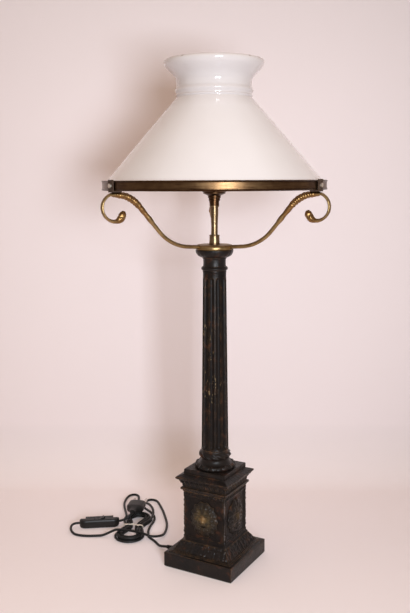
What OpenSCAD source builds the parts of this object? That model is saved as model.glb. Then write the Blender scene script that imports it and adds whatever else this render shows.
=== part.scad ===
// Table lamp: a fluted column on a square pedestal, with three scroll arms that carry a cone of opal glass.
// Millimetres. The origin is under the middle of the base and +Z is up.

/* [Pedestal] */
// Thickness of the felt under the base
felt_t = 1.2; // [0.8:0.1:3]
// Side of the square plinth
plinth_side = 102; // [96:1:130]
// Height of the plinth's upright edge
plinth_edge_h = 19.3; // [16:0.1:26]
// Height of the slope from the border to the die
plinth_slope_h = 14.5; // [10:0.5:22]
// Width of the flat border on the plinth
plinth_border = 4.4; // [3:0.1:7]
// Wall of the plinth casting
plinth_wall = 4.5; // [3:0.1:6]
// Side of the square die
die_side = 63; // [56:1:70]
// Height of the die
die_h = 69; // [62:1:110]
// Wall of the die casting
die_wall = 5.5; // [4:0.1:7]
// Depth of each of the two steps of a recessed panel
panel_step = 0.8; // [0.4:0.1:1.2]
// Width of the border round a recessed panel
panel_border = 4; // [3:0.1:6]
// Gap between the relief mask and the sides of its panel
mask_side_gap = 5.5; // [4:0.5:9]
// Gap between the relief mask and the ends of its panel
mask_end_gap = 2.8; // [2:0.1:6]
// Thickness of the relief at its edge
mask_edge_t = 1.2; // [0.6:0.1:2]
// Height of the moulded cornice
cornice_h = 24.5; // [20:0.5:30]
// How far the cornice plate stands out past the die
cornice_out = 7.8; // [5:0.1:12]
// Side of the square plate under the column
abacus_side = 61.6; // [56:0.2:70]
// Thickness of the square plate under the column
abacus_h = 6.5; // [4:0.5:10]

/* [Column] */
// Height of the moulded column base
col_base_h = 25; // [22:0.5:34]
// Radius of the foot of the column base
col_base_r = 26.4; // [24:0.1:28]
// Height of the fluted shaft
shaft_h = 241; // [180:1:300]
// Radius of the shaft at the bottom
shaft_r_low = 18; // [17:0.1:18.8]
// Radius of the shaft at the top
shaft_r_top = 15.2; // [14.4:0.1:15.8]
// Number of flutes
flutes = 12; // [8:1:14]
// Radius of the flute at the shaft's lower end
flute_r_low = 4.1; // [3.4:0.1:4.6]
// Radius of the flute at the shaft's upper end
flute_r_top = 3.5; // [2.8:0.1:3.8]
// Radius of the space down the middle of the shaft
shaft_bore_r = 8; // [6.5:0.1:9]
// Height of the capital
capital_h = 26.6; // [22:0.2:34]
// Radius of the capital's top
capital_r = 24.6; // [20:0.1:28]

/* [Stem] */
// Radius of the threaded rod that clamps the column
rod_r = 5; // [4.7:0.1:5.2]
// Radius of the hole through the threaded rod
rod_bore_r = 3.6; // [3:0.1:3.9]
// Length of the bar that the rod pulls up under the plinth
clamp_bar_w = 20; // [16:1:24]
// Thickness of the bar that the rod pulls up under the plinth
clamp_bar_t = 3; // [2:0.5:4]
// Thickness of the rod's nut
rod_nut_t = 4; // [3:0.5:5]
// Distance across the flats of the rod's nut
rod_nut_w = 14; // [13:0.5:17]
// Thickness of the hub disc that holds the arms
hub_t = 6.8; // [5.4:0.1:8]
// Height of the collar above the hub
collar_h = 12.3; // [11:0.1:20]
// Radius of the foot of the collar
collar_r = 7.3; // [6.6:0.1:8.4]
// Length of stem tube that shows above the collar
stem_h = 36; // [34:0.5:46]
// Radius of the stem tube
stem_r = 4.3; // [4:0.1:4.8]
// Radius that the stem tube swells to under its ring
stem_top_r = 5; // [4.9:0.1:5.8]
// Wall of the stem tube
stem_wall = 1.2; // [0.8:0.1:1.4]
// Thickness of the thin ring under the lamp holder
stem_ring_t = 1.5; // [1:0.1:2.5]

/* [Arms and ring] */
// Radius of the shade ring outside
ring_r = 142.5; // [132:0.5:152]
// Height of the shade ring
ring_h = 12.2; // [10:0.1:16]
// Wall of the shade ring and of its ledge
ring_wall = 1.5; // [1.2:0.1:2]
// Width of the ledge that the glass stands on
ledge_w = 6.5; // [5:0.5:9]
// Radius of the rolled edges of the ring
ring_bead_r = 1.1; // [0.8:0.1:1.4]
// Heading of an arm where it leaves the hub, in degrees above level
arm_start = 4; // [0:1:8]
// Steepest heading of an arm
arm_steep = 50; // [46:1:55]
// Straight length of an arm from the hub to its first bend
arm_flat = 18; // [12:1:24]
// Straight length between the two bends of an arm
arm_straight = 41.5; // [34:0.5:48]
// Radius of the arm's upper bend
arm_bend_r = 42; // [36:1:50]
// Radius of the outer half of the scroll
scroll_r = 16.5; // [13:0.5:19]
// Radius of the inner turn of the scroll
scroll_inner_r = 10; // [8:0.5:12]
// Width of an arm at its root
arm_root_w = 4.8; // [3.6:0.1:5.6]
// Thickness of an arm at its root
arm_root_t = 5; // [4:0.1:5.4]
// Thickness of an arm where the ring stands on it
arm_crown_t = 3.6; // [3:0.1:5]
// Width of the clip that holds the ring
clip_w = 13; // [10:0.5:16]
// Thickness of the clip
clip_t = 1.6; // [1.2:0.1:2]
// Radius of the ring screws
ring_screw_r = 1.5; // [1.2:0.1:2]
// Radius of the heads of the ring screws
ring_screw_head_r = 2.7; // [2.2:0.1:3.4]

/* [Glass shade] */
// Thickness of the glass
glass_t = 3; // [2:0.1:4]
// Height of the glass's upright rim inside the ring
glass_rim_h = 7; // [5:0.5:10]
// Height of the cone of glass above the rim
glass_cone_h = 106.5; // [80:0.5:130]
// How far the cone bulges past a straight line
glass_bulge = 0.3; // [0:0.1:6]
// Radius of the glass's neck
glass_neck_r = 47.4; // [42:0.1:54]
// Height of the glass's neck
glass_neck_h = 17; // [15:0.5:24]
// Radius of the lip at the top of the glass
glass_lip_r = 62.9; // [58:0.1:70]
// Height of the flared lip
glass_lip_h = 28.5; // [24:0.5:36]

/* [Lamp holder and bulb] */
// Radius of the lamp holder
holder_r = 19.5; // [19:0.1:22]
// Height of the lamp holder's bell
holder_bell_h = 23.5; // [23:0.5:28]
// Height of the lamp holder's sleeve
holder_sleeve_h = 32; // [26:1:36]
// Wall of the lamp holder's shells
holder_wall = 1.2; // [0.8:0.1:1.4]
// Thickness of the porcelain core
core_t = 7; // [5:0.5:9]
// Radius of the bulb's screw cap
bulb_cap_r = 13.25; // [13.1:0.05:13.4]
// Length of the bulb's screw cap
bulb_cap_h = 22; // [20:0.5:24]
// Radius of the bulb
bulb_r = 30; // [24:0.5:34]
// Height of the bulb's glass
bulb_h = 82; // [72:1:90]

/* [Cord] */
// Diameter of the cord
cord_d = 3.6; // [3.2:0.1:3.8]
// Length of the tapered relief where the cord leaves the base
relief_len = 20; // [20:1:20]
// Radius of the relief at the base
relief_r = 4.2; // [3.6:0.1:5]
// Height of the cord's hole above the table
relief_z = 7; // [7:1:7]
// Place of the cord's hole along the base's left side, from the middle
relief_y = -12; // [-12:1:-12]
// Least radius of the loops tied together
hank_inner_r = 10.8; // [10.7:0.1:11.5]
// Step between loops lying side by side
hank_pitch = 4.6; // [4.6:0.02:4.7]
// Length of the straight runs of the loops
hank_run = 56; // [56:1:56]
// How far the tie draws the loops in at the waist
hank_draw = 8; // [6:0.1:8.2]
// Length of the hand switch
switch_len = 59.4; // [59.4:0.1:59.4]
// Width of the hand switch
switch_w = 18; // [16:0.5:22]
// Height of the hand switch
switch_h = 13; // [12.6:0.1:14]
// Length of the rocker
rocker_len = 16; // [12:0.5:20]
// Width of the rocker
rocker_w = 8; // [6:0.5:10]
// Angle that the rocker tips through
rocker_tip = 14; // [10:1:16]
// Length of the plug's body
plug_len = 35; // [32:0.5:38]
// Width of the plug's body
plug_w = 26; // [25.5:0.5:28]
// Thickness of the plug's body
plug_t = 13.4; // [12:0.1:13.8]
// Length of the plug's pins outside the body
pin_len = 19; // [17:0.5:20]
// Radius of the plug's pins
pin_r = 2; // [1.8:0.1:2.4]
// Distance between the plug's pins
pin_gap = 18.6; // [17.5:0.1:19.2]

/* [Fits] */
// Clearance of the rod in the pieces that it passes through
rod_clearance = 0.3; // [0.1:0.05:0.5]
// Clearance of threads and press fits
fit_clearance = 0.03; // [0.02:0.01:0.06]
// Clearance between loose pieces
loose_clearance = 0.15; // [0.1:0.01:0.3]
// Gap between the glass and the ring's wall
glass_clearance = 1.2; // [0.6:0.1:2]
// Clearance of turning pieces
turn_clearance = 0.08; // [0.05:0.01:0.1]
// Gap under a piece that lifts off its seat
seat_gap = 0.05; // [0.02:0.01:0.1]

/* [Hidden] */
$fn = 96;

// Colours
bronze = [0.24, 0.21, 0.19];
old_gold = [0.62, 0.47, 0.25];
dark_brass = [0.36, 0.25, 0.15];
opal = [0.95, 0.94, 0.92];
black = [0.09, 0.09, 0.1];
steel = [0.6, 0.6, 0.62];
ceramic = [0.85, 0.83, 0.78];

// Levels, from the table up
plinth_z = felt_t;
plinth_edge_z = plinth_z + plinth_edge_h;
die_z = plinth_edge_z + plinth_slope_h;
cornice_z = die_z + die_h;
abacus_z = cornice_z + cornice_h;
col_base_z = abacus_z + abacus_h;
shaft_z = col_base_z + col_base_h;
capital_z = shaft_z + shaft_h;
hub_z = capital_z + capital_h;
collar_z = hub_z + hub_t;
stem_z = collar_z + collar_h;
holder_z = stem_z + stem_h + stem_ring_t;
core_z = holder_z + holder_bell_h;
thread_z = core_z + core_t;

// Inside of the base
bar_z = 12;
bar_top_z = bar_z + clamp_bar_t;
seat_w = 6;
washer_t = 1;
cavity_top_z = plinth_edge_z - 3;
plinth_inner = plinth_side / 2 - plinth_wall;
bar_half = plinth_inner - 1;
throat = die_side / 2 - die_wall;
rod_hole_r = rod_r + rod_clearance;
rod_low_z = 3;
rod_top_z = collar_z + collar_h / 2;
panel_ledge = 2;
panel_low_z = die_z + panel_border + panel_ledge + 2;
panel_h = die_h - 2 * (panel_border + panel_ledge) - 3;
panel_w = die_side - 2 * (panel_border + panel_ledge);
panel_face = die_side / 2 - 2 * panel_step;

// Arms, in the plane of radius and height. Headings are degrees above level
hub_r = capital_r - 0.2;
arm_socket = 3;
arm_sides = 10;
arm_root = [hub_r - arm_socket, hub_z + 0.6 * hub_t];
arm_floor_z = arm_root[1] - arm_root_t / 2 * cos(180 / arm_sides) - fit_clearance;
clip_foot_w = 8;
crown_r = ring_r - 3;
arm_low_r = (crown_r - arm_root[0] - arm_flat * cos(arm_start) - arm_straight * cos(arm_steep)
    - arm_bend_r * sin(arm_steep)) / (sin(arm_steep) - sin(arm_start));
scroll_in_end = -285;
flat_end = arm_root + arm_flat * [cos(arm_start), sin(arm_start)];
bend_1 = bend_end(flat_end, arm_low_r, arm_start, arm_steep);
bend_2 = bend_1 + arm_straight * [cos(arm_steep), sin(arm_steep)];
crown = bend_end(bend_2, -arm_bend_r, arm_steep, 0);
scroll_side = bend_end(crown, -scroll_r, 0, -90);
scroll_low = bend_end(scroll_side, -scroll_r, -90, -180);
steps_low = 14;
steps_bend = 9;
steps_quarter = 6;
knot_at = [0.42, 0.5, 0.58];
// Thickness in the arm's plane and width across it, by ring number along the arm. The crown is ring 28
arm_thick = [[0, arm_root_t], [12, 5], [16, 5.2], [17, 6.6], [18, 5.6], [21, 6.6], [24, 6.2], [25, arm_crown_t + 2.2],
    [26, arm_crown_t + 1.3], [27, arm_crown_t + 0.3], [28, arm_crown_t], [30, 3.6], [39, 3.6], [42, 5.4], [44, 7.6],
    [46, 7], [47, 3]];
arm_wide = [[0, arm_root_w], [12, 5], [16, 5.4], [17, 7.4], [18, 6.4], [20, 9], [23, 10.5], [27, 9.5], [29, 6],
    [32, 4.8], [39, 4.8], [42, 6], [44, 7.4], [46, 7], [47, 3]];

// Shade ring and glass
ring_z = crown[1] + arm_crown_t / 2 * cos(180 / arm_sides) + fit_clearance + clip_t;
ring_inner = ring_r - ring_wall;
ring_bead_at = ring_r - 0.3;
ring_bead_out = ring_bead_at + ring_bead_r;
clip_face = ring_bead_out + loose_clearance;
clip_rise = 1;
screw_z = ring_z + ring_h / 2;
screw_head_t = 1.8;
glass_z = ring_z + ring_wall + seat_gap;
glass_rim_r = ring_inner - glass_clearance;
glass_neck_z = glass_rim_h + glass_cone_h;
glass_lip_z = glass_neck_z + glass_neck_h;
glass_ridge_h = 3.2;
glass_ridge_out = 1.2;
glass_bead_h = 10;
glass_bead_out = 1.9;
glass_flare = 1.2;
glass_roll_h = glass_t + 0.8;
glass_roll_in = 2.8;
glass_shoulder = 1.2;

// Relief masks
mask_rings = 7;
mask_spokes = 28;
mask_w = panel_w - 2 * mask_side_gap;
mask_h = panel_h - 2 * mask_end_gap;
mask_drop = 0.8;

// Hank of cord: it lies beside the base, with its runs along this heading
cord_r = cord_d / 2;
hank_at = [-152, 26];
hank_heading = 110;
hank_turn = 24;
hank_climb = 60;
hank_out = 66;
hank_last = 114;
hank_low_z = 2.6;
hank_high_z = 6.9;
hank_outer_r = hank_inner_r + hank_pitch * hank_climb / hank_turn;
hank_end_r = hank_inner_r + hank_pitch * (hank_last - hank_out) / hank_turn;
hank_points = [for (i = [0:hank_last]) hank_point(i)];
hank_start = hank_world(hank_points[0]);
hank_end = hank_world(hank_points[hank_last]);
hank_dir = [cos(hank_heading), sin(hank_heading), 0];

// Switch and plug lie where the cord brings them
switch_at = [-204.5, 9.7];
switch_heading = 35.6;
switch_floor = 0.1;
switch_entry = 3;
switch_axis = [cos(switch_heading), sin(switch_heading), 0];
switch_axis_z = switch_floor + switch_h / 2;
switch_mid = [switch_at[0], switch_at[1], switch_axis_z];
switch_left = switch_mid - (switch_len / 2 - switch_entry) * switch_axis;
switch_right = switch_mid + (switch_len / 2 - switch_entry) * switch_axis;
switch_wall = 1.6;
switch_end = 15;
switch_inner_w = switch_w - 6;
switch_screw_r = 1;
switch_screw_head_r = 1.9;
switch_screw_head_t = 1.6;
switch_screw_at = [switch_len / 2 - 11, 4.6];
switch_screw_top = switch_h - 3;
pivot_r = 0.8;
pivot_seat = 1.2;
rocker_axis_z = switch_h - 3.4;
plug_side = -9;
plug_rear = 23;
plug_z = 15.6;
plug_taper = 12;
plug_socket = 8;
pin_step = 0.4;
plug_end = hank_world([plug_side, plug_rear, plug_z]);

// Routes of the free stretches, chosen by hand. Each starts and ends at the piece that it meets
relief_end = [-plinth_side / 2 - relief_len, relief_y, relief_z];
lead_route = [relief_end, [-76, -11.5, 6], [-81.5, -9.6, 4.2], [-87, -6.5, 2.6], [-93, -2.6, 1.9], [-99, 1.6, 1.9],
    [-105.5, 5.2, 1.9], [-112, 8.2, 1.9], [-118, 12.2, 1.9], [-122.5, 18.5, 1.9], [-127.5, 26.5, 1.9],
    [-132, 36.5, 1.9],
    [-135.5, 47, 1.9], [-138.5, 57.5, 1.9], [-143.5, 68.5, 1.9], [-151.5, 78, 1.9], [-162, 86, 1.9],
    [-174.5, 92.5, 1.9], [-186.5, 99, 1.9], [-196.5, 106.5, 1.9], [-204.5, 115.5, 1.9], [-210, 124, 1.9],
    [-215, 130.5, 1.9], [-221.5, 133.5, 1.9], [-227, 131, 1.9], [-229, 124.5, 1.9], [-227.5, 116, 1.9],
    [-223.5, 105, 1.9], [-217.5, 93.5, 1.9], [-209.5, 82.5, 1.9], [-201, 72.5, 1.9], [-192.5, 62.5, 2.1],
    [-185.5, 53, 2.5], hank_start];
loop_route = [hank_end, [-146.5, 68.5, 7.1], [-152, 78, 7.1], [-159, 87.5, 7.1], [-167.5, 96, 6.8],
    [-176.5, 103.5, 5.6], [-185, 109.5, 3.6], [-190.5, 115.5, 2.1], [-192, 122.5, 1.9], [-188, 128.5, 1.9],
    [-180.5, 129, 1.9], [-173, 124.5, 1.9], [-164.5, 116.5, 1.9], [-155.5, 107.5, 1.9], [-146.5, 98, 1.9],
    [-137.5, 87.5, 1.9], [-128, 76, 1.9], [-119, 64.5, 1.9], [-111.5, 52.5, 1.9], [-105.5, 40, 1.9],
    [-101.5, 28.5, 2.4], [-100.5, 18, 4.4], [-103, 9.5, 6.2], [-108, 4, 7.6], [-114.5, 1.5, 9.4],
    [-121.5, 0.5, 10.9], [-130, 0, 11.1], [-139, -1, 11.1], [-147.5, -3, 11.1], [-155, -5.5, 11.1],
    [-161, -8, 10.8], [-166.5, -11, 8.4], [-172.5, -14.5, 5], [-179, -19, 2.5], [-188, -24.5, 1.9],
    [-197.5, -30, 1.9], [-207.5, -33.5, 1.9], [-217, -34, 2], [-225.5, -30.5, 2.8], [-232, -24.5, 4],
    [-235.5, -17.5, 5.4], [-233.5, -11.5, 6.3], switch_left];
tail_route = [switch_right, [-180.2, 27.1, 6.65], [-177.4, 29.1, 7.3], [-174.6, 31.1, 8.5], [-171.9, 33, 9.9],
    [-170.1, 34.7, 11.3], [-168.7, 36.9, 12.8], [-167.9, 39.4, 14.1], [-167.8, 42, 15.1], plug_end];
cord_sides = 8;
// The lead inside the lamp, up through the rod
inner_route = [relief_end, [-47, relief_y, relief_z], [-44, relief_y, relief_z], [-37, -11, 7.2], [-30, -9, 7.6],
    [-24, -6.4, 8.6], [-19.5, -3.4, 11.5], [-15.8, -1.2, 16], [-12, 0, 20.5], [-8, 0, 25], [-4.5, 0, 29],
    [-1.8, 0, 33.5], [-0.4, 0, 38], [0, 0, 43], [0, 0, core_z - 4]];

// End of a bend that starts at p, turns from heading a to heading b, and has a signed radius
function bend_end(p, r, a, b) = p + r * [sin(b) - sin(a), cos(a) - cos(b)];

// Points of a bend, each with its heading, without the first one
function bend_points(p, r, a, b, n) = [for (i = [1:n]) let (h = a + (b - a) * i / n) [bend_end(p, r, a, h), h]];

// Centre line of an arm, each point with its heading
function arm_line() = concat([[arm_root, arm_start], [flat_end, arm_start]],
    bend_points(flat_end, arm_low_r, arm_start, arm_steep, steps_low),
    [for (t = knot_at) [bend_1 + (bend_2 - bend_1) * t, arm_steep]], [[bend_2, arm_steep]],
    bend_points(bend_2, -arm_bend_r, arm_steep, 0, steps_bend), bend_points(crown, -scroll_r, 0, -90, steps_quarter),
    bend_points(scroll_side, -scroll_r, -90, -180, steps_quarter),
    bend_points(scroll_low, -scroll_inner_r, -180, scroll_in_end, steps_quarter + 1));

// Ring of points round a centre, from a side vector and an up vector
function ring_at(c, side, up, n) = [for (j = [0:n - 1]) c + cos(360 * j / n) * side + sin(360 * j / n) * up];

// Flat list of all the points of a list of rings
function flat(rings) = [for (ring = rings) for (p = ring) p];

// Triangles of a tube of m rings with n points each, closed at both ends
function tube_faces(m, n) = concat([[for (j = [n - 1:-1:0]) j]], [[for (j = [0:n - 1]) (m - 1) * n + j]],
    [for (i = [0:m - 2]) for (j = [0:n - 1]) let (k = (j + 1) % n) [i * n + j, i * n + k, (i + 1) * n + k]],
    [for (i = [0:m - 2]) for (j = [0:n - 1]) let (k = (j + 1) % n) [i * n + j, (i + 1) * n + k, (i + 1) * n + j]]);

// Unit vector
function unit(v) = v / norm(v);

// Heading of a route at point i, with a given heading at each end
function route_dir(p, i, first, last) = i == 0 ? first : i == len(p) - 1 ? last
    : unit(unit(p[i] - p[i - 1]) + unit(p[i + 1] - p[i]));

// Outer line of a list of points moved inward by t
function inward(p, t) = [for (i = [len(p) - 1:-1:0]) let (a = p[max(i - 1, 0)], b = p[min(i + 1, len(p) - 1)],
    d = unit(b - a)) p[i] + t * [-d[1], d[0]]];

// A point of the hank, in its own plane: across, along and up
function hank_radius(i) = i < hank_climb ? hank_outer_r - hank_pitch * i / hank_turn
    : i < hank_out ? hank_inner_r : hank_inner_r + hank_pitch * (i - hank_out) / hank_turn;
function hank_level(i) = i < hank_climb ? hank_low_z : i > hank_out ? hank_high_z
    : hank_low_z + (hank_high_z - hank_low_z) * (1 - cos(180 * (i - hank_climb) / (hank_out - hank_climb))) / 2;
function hank_waist(v) = hank_draw * (1 + cos(360 * v / hank_run)) / 2;
function hank_point(i) = let (quarter = floor(i / 6) % 4, s = (i % 6) / 6, r = hank_radius(i), z = hank_level(i),
    run = hank_run * (s - 0.5))
    quarter == 0 ? [-(r - hank_waist(run)), -run, z]
    : quarter == 1 ? [-r * cos(180 * s), -hank_run / 2 - r * sin(180 * s), z]
    : quarter == 2 ? [r - hank_waist(run), run, z]
    : [r * cos(180 * s), hank_run / 2 + r * sin(180 * s), z];
function hank_world(p) = [hank_at[0] + sin(hank_heading) * p[0] + cos(hank_heading) * p[1],
    hank_at[1] - cos(hank_heading) * p[0] + sin(hank_heading) * p[1], p[2]];

// Least distance between two stretches of a list of points
function apart(a, b, c, d) = let (steps = [for (s = [0:0.25:1]) s])
    min([for (s = steps) for (t = steps) norm(a + (b - a) * s - c - (d - c) * t)]);

// Height of a relief mask over its edge: a lion's face in a mane of curls
function bump(x, z, at, size, h) = h * exp(-pow((x - at[0]) / size[0], 2) - pow((z - at[1]) / size[1], 2));
function total(v, i = 0) = i < len(v) ? v[i] + total(v, i + 1) : 0;
// Each bump as [distance from the middle, height above it, half width, half height, rise]
mask_bumps = [
    [0, 2, 9, 13, 1.5], // face
    [0, 1, 2.2, 6, 1.7], // nose
    [4.2, 7.2, 3.2, 1.8, 1.3], // brows
    [4.3, 3.6, 1.8, 1.3, -1.2], // eyes
    [3.4, -5, 3, 2.4, 1.2], // muzzle
    [0, -9, 3.6, 1.1, -1.3], // mouth
    [0, -12.5, 2.8, 2.6, 1.2], // chin
    [0, 20.5, 2.4, 2, 1.1], [5, 17.5, 2.6, 2.4, 1.2], [10.5, 13, 2.6, 2.6, 1.3], [12.8, 3, 2, 4, 1.1], // mane
    [11, -8, 2.2, 4, 1.1], [6, -17, 2.2, 3, 1.2], [0, -20, 2, 2.2, 1],
    [15.8, 8, 1.8, 3.4, 1.2], [16.8, -1.5, 1.6, 4.4, 1.1], [14.8, -13, 2, 3.2, 1]]; // outer locks
function relief(x, z) = 2.2 + total([for (b = mask_bumps) bump(abs(x), z, [b[0], b[1]], [b[2], b[3]], b[4])]);
function mask_edge(a) = (1 + 0.045 * cos(14 * a))
    / sqrt(pow(2 * cos(a) / mask_w, 2) + pow(2 * sin(a) / mask_h, 2));

// A square moulding: the half profile, given as [half width, height], on all four sides
module square_moulding(profile, half) {
    outline = concat(profile, [for (i = [len(profile) - 1:-1:0]) [-profile[i][0], profile[i][1]]]);
    intersection() {
        rotate([90, 0, 0])
            linear_extrude(2 * half + 2, center = true)
                polygon(outline);
        rotate([90, 0, 90])
            linear_extrude(2 * half + 2, center = true)
                polygon(outline);
    }
}

// A round moulding: the profile, given as [radius, height], round a hole
module round_moulding(profile, hole_r, h) {
    difference() {
        rotate_extrude()
            polygon(concat([[0, 0]], profile, [[0, h]]));
        translate([0, 0, -1])
            cylinder(h = h + 2, r = hole_r);
    }
}

// A box centred on the axis
module box(x, y, z0, z1) {
    translate([-x, -y, z0])
        cube([2 * x, 2 * y, z1 - z0]);
}

// A tube along a route, with a stated heading at each end. No stretch may run along the over vector
module swept_cord(route, first, last, sides, over = [0, 0, 1]) {
    rings = [for (i = [0:len(route) - 1]) let (t = route_dir(route, i, first, last), side = unit(cross(t, over)))
        ring_at(route[i], cord_r * side, cord_r * cross(side, t), sides)];
    polyhedron(flat(rings), tube_faces(len(rings), sides), convexity = 8);
}

module felt_pad() {
    color([0.16, 0.2, 0.16])
        box(plinth_side / 2 - 1, plinth_side / 2 - 1, 0, felt_t);
}

module plinth() {
    half = plinth_side / 2;
    foot = die_side / 2 + 1.7;
    inner = half - plinth_border;
    profile = [[half, plinth_z], [half, plinth_edge_z - 0.5], [half - 0.5, plinth_edge_z], [inner, plinth_edge_z],
        [inner - 0.5, plinth_edge_z + 0.8], [inner - 2.3, plinth_edge_z + 0.8], [inner - 2.8, plinth_edge_z + 1.6],
        [(inner + foot) / 2 - 0.6, (plinth_edge_z + die_z) / 2 - 0.2], [foot, die_z]];
    color(bronze)
        difference() {
            square_moulding(profile, half);
            box(plinth_inner, plinth_inner, 0, bar_top_z);
            box(plinth_inner - seat_w, plinth_inner - seat_w, bar_top_z - 1, cavity_top_z);
            box(throat, throat, cavity_top_z - 1, die_z + 1);
            translate([-half - 1, relief_y, relief_z])
                rotate([0, 90, 0])
                    cylinder(h = plinth_wall + 2, r = relief_r - 0.6 + fit_clearance);
        }
}

module panel_recess() {
    for (step = [0:1]) {
        ledge = panel_ledge * (1 - step);
        translate([-panel_w / 2 - ledge, -die_side / 2 - 1, panel_low_z - ledge])
            cube([panel_w + 2 * ledge, 1 + panel_step * (step + 1), panel_h + 2 * ledge]);
    }
}

module die() {
    half = die_side / 2;
    profile = [[half + 1.7, die_z], [half + 1.7, die_z + 1.2], [half + 0.4, die_z + 3], [half, die_z + 4.2],
        [half, cornice_z]];
    color(bronze)
        difference() {
            square_moulding(profile, half + 2);
            box(throat, throat, die_z - 1, cornice_z + 1);
            for (side = [0:3]) rotate([0, 0, 90 * side]) panel_recess();
        }
}

// One relief mask, its back against the panel whose outward heading is given
module mask(heading) {
    spokes = mask_spokes;
    middle = panel_low_z + panel_h / 2 - mask_drop;
    face = panel_face + fit_clearance;
    front = [for (i = [1:mask_rings]) for (j = [0:spokes - 1])
        let (a = 360 * j / spokes, r = mask_edge(a) * i / mask_rings, x = r * cos(a), z = r * sin(a),
            fade = 1 - pow(i / mask_rings, 6))
        [x, -face - mask_edge_t - relief(x, z) * fade, z]];
    back = [for (j = [0:spokes - 1]) let (a = 360 * j / spokes, r = mask_edge(a)) [r * cos(a), -face, r * sin(a)]];
    points = concat(front, back, [[0, -face - mask_edge_t - relief(0, 0), 0]]);
    tip = len(points) - 1;
    fan = [for (j = [0:spokes - 1]) [tip, (j + 1) % spokes, j]];
    skin = [for (i = [0:mask_rings - 1]) for (j = [0:spokes - 1]) for (half = [0:1]) let (k = (j + 1) % spokes,
        a = i * spokes + j, b = i * spokes + k, c = (i + 1) * spokes + k, d = (i + 1) * spokes + j)
        half == 0 ? [a, b, c] : [a, c, d]];
    rear = [[for (j = [0:spokes - 1]) mask_rings * spokes + j]];
    color([0.33, 0.28, 0.2])
        rotate([0, 0, heading])
            translate([0, 0, middle])
                polyhedron(points, concat(fan, skin, rear), convexity = 6);
}

module mask_front() { mask(0); }
module mask_right() { mask(90); }
module mask_back() { mask(180); }
module mask_left() { mask(270); }

module cornice() {
    half = die_side / 2;
    plate = half + cornice_out;
    s = cornice_h / 24;
    profile = [[half, 0], [half + 0.3, 1.6 * s], [half + 2.1, 3 * s], [half + 2.7, 4.6 * s], [half + 2.7, 5.6 * s],
        [half + 0.7, 6.6 * s], [half + 0.3, 8.4 * s], [half + 1.1, 11.6 * s], [half + 3.1, 14.8 * s],
        [plate - 1.5, 17.6 * s], [plate, 19.2 * s], [plate, 20.6 * s], [plate - 1.6, 21.6 * s],
        [abacus_side / 2 + 1.2, 23.4 * s], [abacus_side / 2 + 0.4, cornice_h]];
    color(bronze)
        difference() {
            translate([0, 0, cornice_z])
                square_moulding(profile, plate);
            box(throat, throat, cornice_z - 1, abacus_z - 4);
            cylinder(h = abacus_z + 1, r = rod_hole_r);
        }
}

module abacus() {
    color(bronze)
        difference() {
            box(abacus_side / 2, abacus_side / 2, abacus_z, col_base_z);
            cylinder(h = col_base_z + 1, r = rod_hole_r);
        }
}

module column_base() {
    s = col_base_h / 25;
    neck = shaft_r_low + 0.3;
    profile = [[col_base_r - 0.4, 0], [col_base_r, 1.4 * s], [col_base_r - 0.2, 3.4 * s], [col_base_r - 1.4, 5 * s],
        [neck + 4.4, 5.9 * s], [neck + 2.3, 7.6 * s], [neck + 1, 9.8 * s], [neck + 0.6, 11.8 * s],
        [neck + 1, 13.4 * s], [neck + 2, 14.6 * s], [neck + 2.8, 17.2 * s], [neck + 2.3, 20 * s],
        [neck + 1, 22 * s], [neck, 22.8 * s], [neck, col_base_h]];
    color(bronze)
        translate([0, 0, col_base_z])
            round_moulding(profile, rod_hole_r, col_base_h);
}

// A long cutter with round ends that hollows one flute
module flute_cutter(h) {
    low = flute_r_low;
    top = flute_r_top;
    rotate_extrude($fn = 48)
        polygon(concat([for (i = [0:5]) [low * sin(18 * i), -low * cos(18 * i)]],
            [for (i = [0:5]) [top * cos(18 * i), h + top * sin(18 * i)]]));
}

module column_shaft() {
    rim_low = shaft_r_low + 0.3;
    rim_top = shaft_r_top + 0.3;
    flute_low = 6;
    flute_top = shaft_h - 12;
    sink_low = 0.46 * flute_r_low;
    sink_top = 0.48 * flute_r_top;
    lean = atan((shaft_r_low + sink_low - shaft_r_top - sink_top) / (flute_top - flute_low));
    profile = [[rim_low, 0], [rim_low, 0.8], [shaft_r_low, 1.8], [shaft_r_top, shaft_h - 4],
        [rim_top, shaft_h - 2], [rim_top, shaft_h]];
    color(bronze)
        translate([0, 0, shaft_z])
            difference() {
                round_moulding(profile, shaft_bore_r, shaft_h);
                for (i = [0:flutes - 1])
                    rotate([0, 0, 360 / flutes * (i + 0.5)])
                        translate([shaft_r_low + sink_low, 0, flute_low])
                            rotate([0, -lean, 0])
                                flute_cutter(flute_top - flute_low);
            }
}

module capital() {
    s = capital_h / 26.6;
    neck = shaft_r_top - 0.2;
    profile = [[neck, 0], [neck + 1.8, 0.6 * s], [neck + 2.3, 2.5 * s], [neck + 1.6, 4.2 * s], [neck + 0.1, 5 * s],
        [neck - 0.2, 6 * s], [neck - 0.2, 14.4 * s], [neck + 0.8, 15.6 * s], [neck + 0.8, 16.8 * s],
        [capital_r - 6, 17.4 * s], [capital_r - 3.4, 19 * s], [capital_r - 1.4, 21.4 * s],
        [capital_r - 0.3, 24 * s], [capital_r, 25.6 * s], [capital_r, capital_h]];
    color(bronze)
        translate([0, 0, capital_z])
            round_moulding(profile, rod_hole_r, capital_h);
}

module tie_rod() {
    window_low = 19;
    window_h = 18;
    color(steel)
        difference() {
            translate([0, 0, rod_low_z])
                cylinder(h = rod_top_z - rod_low_z, r = rod_r);
            translate([0, 0, rod_low_z - 1])
                cylinder(h = rod_top_z - rod_low_z + 2, r = rod_bore_r);
            translate([-rod_r - 1, -cord_r - 0.6, window_low])
                cube([rod_r + 1, cord_d + 1.2, window_h]);
        }
}

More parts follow.
